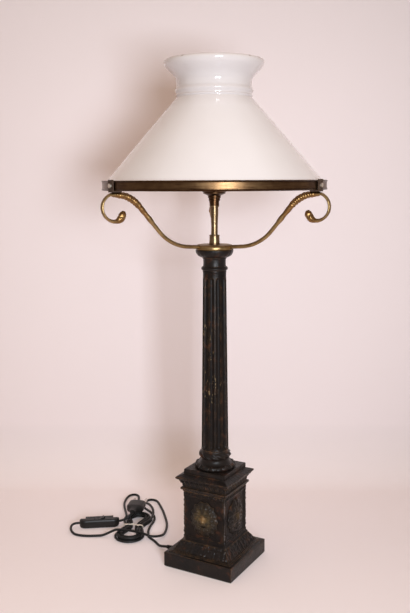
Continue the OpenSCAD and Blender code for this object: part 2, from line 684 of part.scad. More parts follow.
module clamp_bar() {
    color(steel)
        difference() {
            box(clamp_bar_w / 2, bar_half, bar_z, bar_top_z);
            cylinder(h = bar_top_z + 1, r = rod_hole_r);
        }
}

module rod_washer() {
    color(steel)
        difference() {
            translate([0, 0, bar_z - washer_t])
                cylinder(h = washer_t, r = rod_nut_w / 2 + 1.5);
            cylinder(h = bar_z + 1, r = rod_hole_r);
        }
}

module rod_nut() {
    color(steel)
        difference() {
            translate([0, 0, bar_z - washer_t - rod_nut_t])
                cylinder(h = rod_nut_t, r = rod_nut_w / sqrt(3), $fn = 6);
            cylinder(h = bar_z, r = rod_r + fit_clearance);
        }
}

module gallery_hub() {
    s = hub_t / 5.6;
    profile = [[hub_r - 0.6, 0], [hub_r, 0.6 * s], [hub_r, 3.8 * s], [hub_r - 0.7, 4.9 * s], [hub_r - 2.2, hub_t]];
    color(old_gold)
        difference() {
            translate([0, 0, hub_z])
                round_moulding(profile, rod_hole_r, hub_t);
            for (i = [0:2])
                rotate([0, 0, 120 * i])
                    translate([hub_r - arm_socket - loose_clearance, -arm_root_w / 2 - loose_clearance, arm_floor_z])
                        cube([arm_socket + 2, arm_root_w + 2 * loose_clearance, hub_t]);
        }
}

// One cast arm, from the hub to the bud inside its scroll
module arm(heading) {
    line = arm_line();
    rings = [for (i = [0:len(line) - 1])
        let (p = line[i][0], h = line[i][1], side = [0, -1, 0], up = [-sin(h), 0, cos(h)])
        ring_at([p[0], 0, p[1]], lookup(i, arm_wide) / 2 * side, lookup(i, arm_thick) / 2 * up, arm_sides)];
    color(old_gold)
        rotate([0, 0, heading])
            polyhedron(flat(rings), tube_faces(len(rings), arm_sides), convexity = 6);
}

module arm_1() { arm(0); }
module arm_2() { arm(120); }
module arm_3() { arm(240); }

module shade_ring() {
    section = [[ring_inner, ring_z + ring_wall], [ring_inner, ring_z + ring_h], [ring_r, ring_z + ring_h],
        [ring_r, ring_z], [ring_inner - ledge_w, ring_z], [ring_inner - ledge_w, ring_z + ring_wall]];
    color(dark_brass)
        difference() {
            union() {
                rotate_extrude($fn = 180)
                    polygon(section);
                for (z = [ring_z + ring_bead_r, ring_z + ring_h - ring_bead_r])
                    rotate_extrude($fn = 180)
                        translate([ring_bead_at, z])
                            circle(r = ring_bead_r, $fn = 24);
            }
            rotate_extrude($fn = 180)
                translate([ring_inner - ledge_w, ring_z + ring_wall])
                    square([ledge_w, ring_h]);
            for (i = [0:2])
                rotate([0, 0, 120 * i])
                    translate([ring_r - 4, 0, screw_z])
                        rotate([0, 90, 0])
                            cylinder(h = 8, r = ring_screw_r + fit_clearance);
        }
}

module ring_clips() {
    color(dark_brass)
        for (i = [0:2])
            rotate([0, 0, 120 * i])
                difference() {
                    union() {
                        translate([ring_inner - clip_foot_w, -clip_w / 2, ring_z - clip_t])
                            cube([clip_face + clip_t - ring_inner + clip_foot_w, clip_w, clip_t]);
                        translate([clip_face, -clip_w / 2, ring_z - clip_t])
                            cube([clip_t, clip_w, ring_h + clip_t + clip_rise]);
                    }
                    translate([clip_face - 1, 0, screw_z])
                        rotate([0, 90, 0])
                            cylinder(h = clip_t + 2, r = ring_screw_r + fit_clearance);
                }
}

module ring_screws() {
    shank = clip_face + clip_t - ring_inner - 0.3;
    color(old_gold)
        for (i = [0:2])
            rotate([0, 0, 120 * i])
                translate([clip_face + clip_t, 0, screw_z])
                    rotate([0, 90, 0])
                        difference() {
                            union() {
                                cylinder(h = screw_head_t, r = ring_screw_head_r);
                                translate([0, 0, -shank])
                                    cylinder(h = shank + 0.5, r = ring_screw_r);
                            }
                            translate([-ring_screw_head_r, -0.4, screw_head_t - 0.8])
                                cube([2 * ring_screw_head_r, 0.8, 1]);
                        }
}

// A rounded ridge on the glass's neck
function ridge(z, out, h) = [for (i = [0:6]) [glass_neck_r + out * (1 - cos(60 * i)) / 2, z + h * i / 6]];

// Line of the glass, from the rim up to the rolled lip. The two ridges round its neck are on the outside alone
function glass_line(outside) = let (cone_top = glass_neck_z - glass_shoulder, neck = glass_neck_r,
    cone_r = neck + 0.75 * glass_shoulder, top = glass_lip_z + glass_lip_h, widest_z = top - glass_roll_h)
    concat([[glass_rim_r, 0], [glass_rim_r, glass_rim_h * 0.6], [glass_rim_r - 0.3, glass_rim_h],
        [glass_rim_r - 1.4, glass_rim_h + 1.8]],
        [for (i = [1:12]) let (t = i / 12) [glass_rim_r + (cone_r - glass_rim_r) * t + glass_bulge * 4 * t * (1 - t),
            glass_rim_h + (cone_top - glass_rim_h) * t]],
        outside ? concat(ridge(glass_neck_z, glass_ridge_out, glass_ridge_h),
            ridge(glass_neck_z + glass_ridge_h, glass_bead_out, glass_bead_h)) : [[neck, glass_neck_z]],
        [for (i = [0:8]) [neck + (glass_lip_r - neck) * (1 - cos(180 * pow(i / 8, glass_flare))) / 2,
            glass_lip_z + (widest_z - glass_lip_z) * i / 8]],
        [for (i = [1:4]) [glass_lip_r - glass_roll_in * (1 - cos(22 * i)),
            widest_z + glass_roll_h * sin(22 * i)]]);

module glass_shade() {
    color(opal)
        translate([0, 0, glass_z])
            rotate_extrude($fn = 180)
                polygon(concat(glass_line(true), inward(glass_line(false), glass_t)));
}

module stem_collar() {
    color(old_gold)
        translate([0, 0, collar_z])
            difference() {
                rotate_extrude()
                    polygon([[0, 0], [collar_r, 0], [collar_r, 1.2], [collar_r - 0.5, 1.8],
                        [collar_r - 0.9, collar_h - 1.6], [collar_r - 0.5, collar_h - 1],
                        [collar_r - 0.7, collar_h], [0, collar_h]]);
                translate([0, 0, -1])
                    cylinder(h = collar_h / 2 + 1.1, r = rod_r + fit_clearance);
                cylinder(h = collar_h + 1, r = stem_r + fit_clearance);
            }
}

module stem_tube() {
    low = collar_z + collar_h / 2 + 0.2;
    top = holder_z + 5;
    seat = holder_z - stem_ring_t - fit_clearance;
    color(old_gold)
        difference() {
            rotate_extrude()
                polygon([[0, low], [stem_r, low], [stem_r, stem_z + 0.35 * stem_h],
                    [stem_r + 0.4 * (stem_top_r - stem_r), stem_z + 0.53 * stem_h],
                    [stem_top_r, stem_z + 0.75 * stem_h], [stem_top_r, seat], [stem_r, seat], [stem_r, top],
                    [0, top]]);
            translate([0, 0, low - 1])
                cylinder(h = top - low + 2, r = stem_r - stem_wall);
        }
}

module stem_ring() {
    color(old_gold)
        difference() {
            translate([0, 0, holder_z - stem_ring_t])
                cylinder(h = stem_ring_t, r = stem_top_r + 1.1);
            translate([0, 0, holder_z - stem_ring_t - 1])
                cylinder(h = stem_ring_t + 2, r = stem_r + fit_clearance);
        }
}

module holder_bell() {
    s = holder_bell_h / 23.5;
    neck = stem_r + 1.9;
    rim = holder_r - 2.9;
    line = [[neck, 6 * s], [neck + 1.2, 6.4 * s], [neck + 1.2, 9.4 * s], [neck + 2.1, 10.2 * s],
        [neck + 2.1, 12.6 * s], [neck + 4, 13.6 * s], [neck + 8.2, 15.4 * s], [neck + 8.3, 16.8 * s],
        [holder_r - 3.5, 18 * s], [holder_r - 1.7, 20 * s], [holder_r - 0.1, 22 * s], [holder_r, holder_bell_h]];
    hollow = [[0, 8.6 * s], [neck - 0.6, 8.6 * s], [neck + 0.2, 12.4 * s], [neck + 1.4, 15.4 * s],
        [neck + 6.4, 17 * s], [neck + 8.3, 18.6 * s], [rim, 20.4 * s], [rim, holder_bell_h + 1],
        [0, holder_bell_h + 1]];
    color(dark_brass)
        translate([0, 0, holder_z])
            difference() {
                rotate_extrude()
                    polygon(concat([[0, 0], [neck, 0]], line, [[0, holder_bell_h]]));
                rotate_extrude()
                    polygon(hollow);
                translate([0, 0, -1])
                    cylinder(h = 12, r = stem_r + fit_clearance);
            }
}

module holder_sleeve() {
    color(dark_brass)
        difference() {
            translate([0, 0, core_z])
                cylinder(h = holder_sleeve_h, r = holder_r);
            translate([0, 0, core_z - 1])
                cylinder(h = holder_sleeve_h + 2, r = holder_r - holder_wall);
        }
}

module holder_core() {
    color(ceramic)
        difference() {
            translate([0, 0, core_z])
                cylinder(h = core_t, r = holder_r - holder_wall - loose_clearance);
            for (x = [-9, 9])
                translate([x, 0, core_z - 1])
                    cylinder(h = core_t + 2, r = 1.6);
        }
}

module holder_thread() {
    thread_r = bulb_cap_r + turn_clearance;
    color(old_gold)
        difference() {
            translate([0, 0, thread_z])
                cylinder(h = bulb_cap_h + 3, r = thread_r + 0.7);
            translate([0, 0, thread_z - 1])
                cylinder(h = bulb_cap_h + 5, r = thread_r);
        }
}

module holder_contact() {
    color(old_gold)
        translate([0, 0, thread_z])
            cylinder(h = 2, r = 3);
}

bulb_tip_z = thread_z + 2 + loose_clearance;
bulb_cap_z = bulb_tip_z + 4;
bulb_glass_z = bulb_cap_z + bulb_cap_h;

module bulb_contact() {
    color(steel)
        translate([0, 0, bulb_tip_z])
            rotate_extrude($fn = 48)
                polygon([[0, 0], [3, 0], [4.4, 1.2], [4.4, 2], [0, 2]]);
}

module bulb_cap() {
    color(steel)
        translate([0, 0, bulb_tip_z + 2])
            rotate_extrude()
                polygon([[0, 0], [4.4, 0], [bulb_cap_r - 2, 1.6], [bulb_cap_r, 3], [bulb_cap_r, bulb_cap_h + 2],
                    [0, bulb_cap_h + 2]]);
}

module bulb_glass() {
    neck = bulb_cap_r;
    wall = 0.9;
    round_z = bulb_h - bulb_r;
    low_r = neck + 0.6;
    low_z = 3;
    line = concat([[neck, 0], [low_r, low_z]],
        [for (i = [1:7]) let (t = i / 8) [low_r + (bulb_r - low_r) * (1 - cos(180 * t)) / 2,
            low_z + (round_z - low_z) * t]],
        [for (i = [0:9]) [bulb_r * cos(10 * i), round_z + bulb_r * sin(10 * i)]]);
    inner = [for (i = [len(line) - 1:-1:0]) [max(line[i][0] - wall, 0.01), max(line[i][1] - (i > 8 ? wall : 0), 0)]];
    color(opal)
        translate([0, 0, bulb_glass_z])
            rotate_extrude($fn = 96)
                polygon(concat(line, [[0, bulb_h]], [[0, bulb_h - wall]], inner));
}

module inner_lead() {
    color(black)
        swept_cord(inner_route, [1, 0, 0], [0, 0, 1], cord_sides, [0, 1, 0]);
}

module cord_relief() {
    face = plinth_side / 2;
    color(black)
        translate([-face, relief_y, relief_z])
            rotate([0, -90, 0])
                difference() {
                    union() {
                        cylinder(h = relief_len, r1 = relief_r, r2 = cord_r + 0.7);
                        translate([0, 0, -plinth_wall])
                            cylinder(h = plinth_wall + 0.5, r = relief_r - 0.6);
                        translate([0, 0, -plinth_wall - 1.5])
                            cylinder(h = 1.5, r = relief_r + 0.6);
                    }
                    translate([0, 0, -plinth_wall - 3])
                        cylinder(h = relief_len + plinth_wall + 4, r = cord_r + loose_clearance / 2);
                }
}

module cord_lead() {
    color(black)
        swept_cord(lead_route, [-1, 0, 0], -hank_dir, cord_sides);
}

module cord_hank() {
    route = [for (p = hank_points) hank_world(p)];
    color(black)
        swept_cord(route, -hank_dir, hank_dir, 6);
    gaps = [for (i = [0:hank_last - 1]) for (j = [i + 5:hank_last - 1])
        apart(hank_points[i], hank_points[i + 1], hank_points[j], hank_points[j + 1])];
    echo(hank_least_gap = min(gaps) - cord_d);
}

module cord_loop() {
    color(black)
        swept_cord(loop_route, hank_dir, switch_axis, cord_sides);
}

module cord_tail() {
    color(black)
        swept_cord(tail_route, switch_axis, hank_dir, cord_sides);
}

// Moves a piece drawn in the hank's own plane to where the hank lies
module on_hank() {
    translate([hank_at[0], hank_at[1], 0])
        rotate([0, 0, hank_heading - 90])
            children();
}

module twist_tie() {
    at = -4;
    wide = 2.4;
    thick = 0.5;
    left = -(hank_outer_r - hank_waist(at) + cord_r + loose_clearance);
    right = hank_end_r - hank_waist(at) + cord_r + loose_clearance;
    low = hank_low_z - cord_r - loose_clearance;
    high = hank_high_z + cord_r + loose_clearance;
    tail_r = 0.7;
    color([0.85, 0.82, 0.75])
        on_hank() {
            translate([0, at + wide / 2, 0])
                rotate([90, 0, 0])
                    linear_extrude(wide)
                        difference() {
                            translate([left - thick, low - thick])
                                square([right - left + 2 * thick, high - low + 2 * thick]);
                            translate([left, low])
                                square([right - left, high - low]);
                        }
            for (end = [[-4, 200, 11], [2, -20, 9]])
                translate([end[0], at, high + thick + tail_r - 0.2])
                    rotate([0, 90, end[1]])
                        cylinder(h = end[2], r = tail_r, $fn = 24);
        }
}

// Moves a piece drawn along X to where the switch lies, standing on its floor
module on_switch() {
    translate([switch_at[0], switch_at[1], switch_floor])
        rotate([0, 0, switch_heading])
            children();
}

// Solid with round ends, whose half section is given as [half width, height]
module capsule(section, length) {
    widest = max([for (p = section) p[0]]);
    straight = length - 2 * widest;
    outline = concat(section, [for (i = [len(section) - 1:-1:0]) [-section[i][0], section[i][1]]]);
    closed = concat([[0, section[0][1]]], section, [[0, section[len(section) - 1][1]]]);
    rotate([90, 0, 90])
        linear_extrude(straight, center = true)
            polygon(outline);
    for (end = [-1, 1])
        translate([end * straight / 2, 0, 0])
            rotate([0, 0, -90 * end - 90 + 90 * (1 - end)])
                rotate_extrude(angle = 180)
                    polygon(closed);
}

function switch_section(top) = let (w = switch_w / 2, mid = switch_h / 2, e = 2.6)
    top ? [[w, mid], [w, switch_h - e], [w - 0.3 * e, switch_h - 0.3 * e], [w - e, switch_h]]
        : [[w - e, 0], [w - 0.3 * e, 0.3 * e], [w, e], [w, mid]];

// Room for the switch's parts and for the cord where it comes in
module switch_hollow() {
    inside = switch_len / 2 - switch_end;
    translate([-inside, -switch_inner_w / 2, switch_wall])
        cube([2 * inside, switch_inner_w, switch_h - 2 * switch_wall]);
    translate([-switch_len / 2 - 1, 0, switch_h / 2])
        rotate([0, 90, 0])
            cylinder(h = switch_len + 2, r = cord_r + loose_clearance);
}

// The two screws stand on either side of the cord
module at_switch_screws() {
    for (s = [-1, 1])
        translate([s * switch_screw_at[0], s * switch_screw_at[1], 0])
            children();
}

module switch_screw_holes() {
    at_switch_screws() {
        translate([0, 0, -1])
            cylinder(h = 1 + switch_screw_head_t + 0.4, r = switch_screw_head_r + fit_clearance);
        cylinder(h = switch_screw_top + 0.5, r = switch_screw_r + fit_clearance);
    }
}

module switch_lower() {
    color(black)
        on_switch()
            difference() {
                capsule(switch_section(false), switch_len);
                switch_hollow();
                switch_screw_holes();
            }
}

module switch_upper() {
    color(black)
        on_switch()
            difference() {
                capsule(switch_section(true), switch_len);
                switch_hollow();
                switch_screw_holes();
                translate([-rocker_len / 2 - 0.4, -rocker_w / 2 - turn_clearance, switch_h / 2])
                    cube([rocker_len + 0.8, rocker_w + 2 * turn_clearance, switch_h]);
                switch_pin(pivot_r + fit_clearance, fit_clearance);
            }
}

// The rocker's pin, or its hole, across the switch
module switch_pin(r, spare) {
    length = switch_inner_w + 2 * pivot_seat + 2 * spare;
    translate([0, 0, rocker_axis_z])
        rotate([90, 0, 0])
            cylinder(h = length, r = r, center = true, $fn = 32);
}

module switch_pivot() {
    color(steel)
        on_switch()
            switch_pin(pivot_r, 0);
}

module switch_rocker() {
    half = rocker_len / 2;
    top = switch_h - rocker_axis_z;
    outline = [[-half, top + 1.6], [0, top - 0.6], [half, top + 1.6], [half - 1.6, -0.6], [2, -1.8], [-2, -1.8],
        [-half + 1.6, -0.6]];
    color([0.12, 0.12, 0.13])
        on_switch()
            translate([0, 0, rocker_axis_z])
                rotate([0, -rocker_tip / 2, 0])
                    difference() {
                        intersection() {
                            translate([-half + 0.6, -rocker_w / 2, -1.8])
                                cube([rocker_len - 1.2, rocker_w, top + 5]);
                            rotate([90, 0, 0])
                                linear_extrude(rocker_w + 2, center = true)
                                    polygon(outline);
                        }
                        rotate([90, 0, 0])
                            cylinder(h = rocker_w + 2, r = pivot_r + turn_clearance, center = true, $fn = 32);
                    }
}

module switch_terminals() {
    color(old_gold)
        on_switch()
            for (x = [-1, 1])
                translate([x * 11.5 - 2.5, -2, switch_wall])
                    cube([5, 4, 3]);
}

module switch_screws() {
    color(steel)
        on_switch()
            at_switch_screws() {
                translate([0, 0, 0.4])
                    cylinder(h = switch_screw_head_t, r = switch_screw_head_r);
                translate([0, 0, 1])
                    cylinder(h = switch_screw_top - 1, r = switch_screw_r);
            }
}

module plug_body() {
    w = plug_w / 2;
    t = plug_t / 2;
    rear = cord_r + 2;
    plan = [[-rear, 0], [-rear - 0.6, 4], [-w + 1.5, plug_taper], [-w, plug_taper + 3], [-w, plug_len - 2],
        [-w + 2, plug_len], [w - 2, plug_len], [w, plug_len - 2], [w, plug_taper + 3], [w - 1.5, plug_taper],
        [rear + 0.6, 4], [rear, 0]];
    side = [[0, -rear], [4, -rear - 0.5], [plug_taper, -t + 0.4], [plug_taper + 3, -t], [plug_len - 1.5, -t],
        [plug_len, -t + 1.5], [plug_len, t - 1.5], [plug_len - 1.5, t], [plug_taper + 3, t], [plug_taper, t - 0.4],
        [4, rear + 0.5], [0, rear]];
    color(black)
        on_hank()
            translate([plug_side, plug_rear, plug_z])
                difference() {
                    intersection() {
                        linear_extrude(plug_t + 2, center = true)
                            polygon(plan);
                        rotate([90, 0, 90])
                            linear_extrude(plug_w + 2, center = true)
                                polygon(side);
                    }
                    for (x = [-1, 1])
                        translate([x * pin_gap / 2, plug_len + 1, 0])
                            rotate([90, 0, 0])
                                cylinder(h = plug_socket + 1, r = pin_r - pin_step + fit_clearance);
                }
}

module plug_pins() {
    color(steel)
        on_hank()
            for (x = [-1, 1])
                translate([plug_side + x * pin_gap / 2, plug_rear + plug_len + pin_len, plug_z])
                    rotate([90, 0, 0])
                        rotate_extrude($fn = 48)
                            polygon([[0, 0], [pin_r - 1, 0], [pin_r - 0.3, 0.4], [pin_r, 1.2], [pin_r, pin_len],
                                [pin_r - pin_step, pin_len], [pin_r - pin_step, pin_len + plug_socket - 0.2],
                                [0, pin_len + plug_socket - 0.2]]);
}

felt_pad();
plinth();
die();
mask_front();
mask_right();
mask_back();
mask_left();
cornice();
abacus();
column_base();
column_shaft();
capital();
tie_rod();
clamp_bar();
rod_nut();
rod_washer();
gallery_hub();
arm_1();
arm_2();
arm_3();
shade_ring();
ring_clips();
ring_screws();
glass_shade();
stem_collar();
stem_tube();
stem_ring();
holder_bell();
holder_sleeve();
holder_core();
holder_thread();
holder_contact();
bulb_cap();
bulb_contact();
bulb_glass();
inner_lead();
cord_relief();
cord_lead();
cord_hank();
cord_loop();
cord_tail();
twist_tie();
switch_lower();
switch_upper();
switch_rocker();
switch_pivot();
switch_terminals();
switch_screws();
plug_body();
plug_pins();
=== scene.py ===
"""A table lamp: a fluted column on a square pedestal, three scroll arms, a ring and a cone of opal glass.

Sizes are in millimetres in the tables below and become metres where a mesh or a curve is made.
"""
import math

import bpy
from mathutils import Matrix, Vector, noise


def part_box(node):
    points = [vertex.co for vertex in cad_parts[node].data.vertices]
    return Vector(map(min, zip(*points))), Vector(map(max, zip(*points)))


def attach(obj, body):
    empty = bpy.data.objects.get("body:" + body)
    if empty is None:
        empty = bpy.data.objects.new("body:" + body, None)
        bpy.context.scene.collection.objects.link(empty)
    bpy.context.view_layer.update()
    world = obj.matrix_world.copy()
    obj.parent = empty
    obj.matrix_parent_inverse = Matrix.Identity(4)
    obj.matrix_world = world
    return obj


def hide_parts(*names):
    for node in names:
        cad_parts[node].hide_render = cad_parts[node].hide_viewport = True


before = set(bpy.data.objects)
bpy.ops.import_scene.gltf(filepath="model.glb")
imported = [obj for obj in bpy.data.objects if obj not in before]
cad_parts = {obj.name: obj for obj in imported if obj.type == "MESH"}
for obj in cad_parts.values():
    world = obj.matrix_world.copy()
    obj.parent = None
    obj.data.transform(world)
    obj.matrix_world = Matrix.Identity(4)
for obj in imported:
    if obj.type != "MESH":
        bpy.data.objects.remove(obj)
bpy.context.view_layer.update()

MM = 0.001

# Camera, at the photograph's viewing angle
CAMERA_AZIMUTH = 28.6
CAMERA_DISTANCE = 1.036
CAMERA_HEIGHT = 0.5166
CAMERA_PITCH = 8.983
CAMERA_PAN = -0.700
CAMERA_ROLL = -0.250
CAMERA_LENS = 46.98

# Stage and light
WALL_COLOUR = (0.905, 0.815, 0.83)
FLOOR_COLOUR = (0.895, 0.81, 0.825)
FLOOR_GLOW = 0.15
# Painted shade in the cove where the floor curves up into the wall
COVE_SHADE = 0.1
# Painted pool of light on the paper: the colour darkens away from a bright spot (across, height), by this much at this
# reach
PAINTED_LIGHT_FALLOFF = 0.4
PAINTED_LIGHT_REACH = 0.8
PAINTED_LIGHT_CENTRE = (-0.12, 0.42)
PAINTED_LIGHT_DEPTH_SCALE = 1000.0
# Painted shade on the floor in front of the lamp: this much darker, from this far in front to that far
FRONT_PAINTED_SHADE = 0.85
FRONT_PAINTED_SHADE_FROM = 0.3
FRONT_PAINTED_SHADE_TO = 1.0
WALL_BEHIND = 0.33
WALL_CURVE = 0.09
WALL_HEIGHT = 2.6
FLOOR_REACH = 3.0
KEY_TURN = 11.2
KEY_RISE = 0.0
KEY_DISTANCE = 1.4
KEY_SIZE = 0.36
KEY_AIM = 0.49
KEY_POWER = 19.0
KEY_COLOUR = (0.84, 0.92, 1.0)
WORLD_COLOUR = (1.0, 0.76, 0.55)
WORLD_LEVEL = 0.4
WORLD_TOP = 0.9
BACKGROUND = (0.46, 0.40, 0.39)

# Levels of the lamp, from the table up
PLINTH_Z = 1.2
PLINTH_EDGE_Z = 20.5
DIE_Z = 35.0
CORNICE_Z = 104.0
ABACUS_Z = 128.5
COLUMN_Z = 135.0
SHAFT_Z = 160.0
CAPITAL_Z = 401.0
HUB_Z = 427.6
HUB_T = 6.8

# Cord
CORD_D = 3.6
HANK_AT = (-152.0, 26.0)
HANK_HEADING = 110.0
HANK_INNER_R = 10.8
HANK_PITCH = 4.6
HANK_RUN = 56.0
HANK_DRAW = 8.0
HANK_TURN = 24
HANK_CLIMB = 60
HANK_OUT = 66
HANK_LAST = 114
HANK_LOW_Z = 2.6
HANK_HIGH_Z = 6.9
RELIEF_END = (-71.0, -12.0, 7.0)
SWITCH_AT = (-204.5, 9.7)
SWITCH_HEADING = 35.6
SWITCH_LENGTH = 59.4
SWITCH_ENTRY = 3.0
SWITCH_AXIS_Z = 6.6
PLUG_SIDE = -9.0
PLUG_REAR = 23.0
PLUG_Z = 15.6
PLUG_ENTRY = 2.5
PLUG_LENGTH = 35.0


def hank_radius(i):
    """Radius of the hank's turns at step i: in to the middle, then out again."""
    if i < HANK_CLIMB:
        return HANK_INNER_R + HANK_PITCH * (HANK_CLIMB - i) / HANK_TURN
    return HANK_INNER_R + HANK_PITCH * max(0.0, i - HANK_OUT) / HANK_TURN


def hank_level(i):
    """Height of the cord in the hank at step i."""
    climb = min(1.0, max(0.0, (i - HANK_CLIMB) / (HANK_OUT - HANK_CLIMB)))
    return HANK_LOW_Z + (HANK_HIGH_Z - HANK_LOW_Z) * (1 - math.cos(math.pi * climb)) / 2


def hank_waist(v):
    """How far the tie draws a run in, at the distance v along the hank from its middle."""
    return HANK_DRAW * (1 + math.cos(2 * math.pi * v / HANK_RUN)) / 2


def hank_point(i):
    """Step i of the hank, in the hank's own plane."""
    quarter = int(i // 6) % 4
    part = (i % 6) / 6
    radius = hank_radius(i)
    run = HANK_RUN * (part - 0.5)
    turn = math.pi * part
    if quarter == 0:
        return (-(radius - hank_waist(run)), -run, hank_level(i))
    if quarter == 1:
        return (-radius * math.cos(turn), -HANK_RUN / 2 - radius * math.sin(turn), hank_level(i))
    if quarter == 2:
        return (radius - hank_waist(run), run, hank_level(i))
    return (radius * math.cos(turn), HANK_RUN / 2 + radius * math.sin(turn), hank_level(i))


def on_hank(p):
    """A point of the hank's own plane, in the lamp's frame."""
    a = math.radians(HANK_HEADING)
    x = HANK_AT[0] + math.sin(a) * p[0] + math.cos(a) * p[1]
    y = HANK_AT[1] - math.cos(a) * p[0] + math.sin(a) * p[1]
    return (x, y, p[2])


def switch_tip(side):
    """Where the cord ends inside the switch, at its left (-1) or right (1) end."""
    a = math.radians(SWITCH_HEADING)
    reach = side * (SWITCH_LENGTH / 2 - SWITCH_ENTRY)
    return (SWITCH_AT[0] + reach * math.cos(a), SWITCH_AT[1] + reach * math.sin(a), SWITCH_AXIS_Z)


HANK_ROUTE = [on_hank(hank_point(i)) for i in range(HANK_LAST + 1)]
PLUG_END = on_hank((PLUG_SIDE, PLUG_REAR + PLUG_ENTRY, PLUG_Z))
LEAD_ROUTE = [
    RELIEF_END, (-76, -11.5, 6), (-81.5, -9.6, 4.2), (-87, -6.5, 2.6), (-93, -2.6, 1.9), (-99, 1.6, 1.9),
    (-105.5, 5.2, 1.9), (-112, 8.2, 1.9), (-118, 12.2, 1.9), (-122.5, 18.5, 1.9), (-127.5, 26.5, 1.9), (-132, 36.5, 1.9),
    (-135.5, 47, 1.9), (-138.5, 57.5, 1.9), (-143.5, 68.5, 1.9), (-151.5, 78, 1.9), (-162, 86, 1.9),
    (-174.5, 92.5, 1.9), (-186.5, 99, 1.9), (-196.5, 106.5, 1.9), (-204.5, 115.5, 1.9), (-210, 124, 1.9),
    (-215, 130.5, 1.9), (-221.5, 133.5, 1.9), (-227, 131, 1.9), (-229, 124.5, 1.9), (-227.5, 116, 1.9),
    (-223.5, 105, 1.9), (-217.5, 93.5, 1.9), (-209.5, 82.5, 1.9), (-201, 72.5, 1.9), (-192.5, 62.5, 2.1),
    (-185.5, 53, 2.5),
]
LOOP_ROUTE = [
    (-146.5, 68.5, 7.1), (-152, 78, 7.1), (-159, 87.5, 7.1), (-167.5, 96, 6.8), (-176.5, 103.5, 5.6),
    (-185, 109.5, 3.6), (-190.5, 115.5, 2.1), (-192, 122.5, 1.9), (-188, 128.5, 1.9), (-180.5, 129, 1.9),
    (-173, 124.5, 1.9), (-164.5, 116.5, 1.9), (-155.5, 107.5, 1.9), (-146.5, 98, 1.9), (-137.5, 87.5, 1.9),
    (-128, 76, 1.9), (-119, 64.5, 1.9), (-111.5, 52.5, 1.9), (-105.5, 40, 1.9), (-101.5, 28.5, 2.4),
    (-100.5, 18, 4.4), (-103, 9.5, 6.2), (-108, 4, 7.6), (-114.5, 1.5, 9.4), (-121.5, 0.5, 10.9),
    (-130, 0, 11.1), (-139, -1, 11.1), (-147.5, -3, 11.1), (-155, -5.5, 11.1), (-161, -8, 10.8),
    (-166.5, -11, 8.4), (-172.5, -14.5, 5), (-179, -19, 2.5), (-188, -24.5, 1.9), (-197.5, -30, 1.9),
    (-207.5, -33.5, 1.9), (-217, -34, 2), (-225.5, -30.5, 2.8), (-232, -24.5, 4), (-235.5, -17.5, 5.4),
    (-233.5, -11.5, 6.3), switch_tip(-1),
]
TAIL_ROUTE = [
    switch_tip(1), (-180.2, 27.1, 6.65), (-177.4, 29.1, 7.3), (-174.6, 31.1, 8.5), (-171.9, 33, 9.9),
    (-170.1, 34.7, 11.3), (-168.7, 36.9, 12.8), (-167.9, 39.4, 14.1), (-167.8, 42, 15.1), PLUG_END,
]


# Camera, floor, wall and lights

def turned(azimuth, distance, height):
    """A point at that azimuth round the lamp, counted from the front."""
    a = math.radians(azimuth)
    return Vector((math.sin(a) * distance, -math.cos(a) * distance, height))


def add_camera():
    """The camera stands and looks as the photograph's did."""
    pitch = math.radians(CAMERA_PITCH)
    pan = math.radians(CAMERA_PAN)
    roll = math.radians(CAMERA_ROLL)
    ahead = Vector((math.sin(pan) * math.cos(pitch), math.cos(pan) * math.cos(pitch), -math.sin(pitch)))
    right = Vector((math.cos(pan), -math.sin(pan), 0.0))
    up = right.cross(ahead)
    level_right = right * math.cos(roll) + up * math.sin(roll)
    level_up = up * math.cos(roll) - right * math.sin(roll)
    turn = Matrix.Rotation(math.radians(CAMERA_AZIMUTH), 3, "Z")
    axes = Matrix((level_right, level_up, -ahead)).transposed()
    data = bpy.data.cameras.new("camera")
    data.lens = CAMERA_LENS
    data.sensor_width = 36.0
    data.clip_start = 0.02
    camera = bpy.data.objects.new("camera", data)
    place = Matrix.Translation(turned(CAMERA_AZIMUTH, CAMERA_DISTANCE, CAMERA_HEIGHT))
    camera.matrix_world = place @ (turn @ axes).to_4x4()
    bpy.context.scene.collection.objects.link(camera)
    bpy.context.scene.camera = camera


def mesh_object(name, points, faces, smooth=True):
    """A mesh from points in millimetres."""
    mesh = bpy.data.meshes.new(name)
    mesh.from_pydata([(p[0] * MM, p[1] * MM, p[2] * MM) for p in points], [], faces)
    mesh.update()
    mesh.polygons.foreach_set("use_smooth", [smooth] * len(mesh.polygons))
    obj = bpy.data.objects.new(name, mesh)
    bpy.context.scene.collection.objects.link(obj)
    return obj


def grid_faces(rows, columns, wrap_rows=False, wrap_columns=True):
    """Faces of a grid of points in rows, whose ends may be joined."""
    faces = []
    for i in range(rows if wrap_rows else rows - 1):
        for j in range(columns if wrap_columns else columns - 1):
            a = i * columns + j
            b = i * columns + (j + 1) % columns
            c = (i + 1) % rows * columns + (j + 1) % columns
            d = (i + 1) % rows * columns + j
            faces.append((a, b, c, d))
    return faces


def sharpen(obj, angle=35.0):
    """Keeps the edges steeper than that angle sharp."""
    obj.data.set_sharp_from_angle(angle=math.radians(angle))


def add_stage():
    """A pale floor that curves up into a wall behind the lamp."""
    reach = FLOOR_REACH / MM
    behind = WALL_BEHIND / MM
    curve = WALL_CURVE / MM
    steps = 16
    line = [(-reach, 0.0), (behind - curve, 0.0)]
    line += [(behind - curve + curve * math.sin(math.radians(90 * i / steps)),
              curve - curve * math.cos(math.radians(90 * i / steps))) for i in range(1, steps + 1)]
    line += [(behind, WALL_HEIGHT / MM)]
    points = []
    for back, z in line:
        for side in (-reach, reach):
            points.append((side, back, z))
    faces = grid_faces(len(line), 2, wrap_columns=False)
    paper = mesh_object("paper", points, faces)
    paper.data.transform(Matrix.Rotation(math.radians(CAMERA_AZIMUTH), 4, "Z"))
    paper.data.materials.append(paper_material())


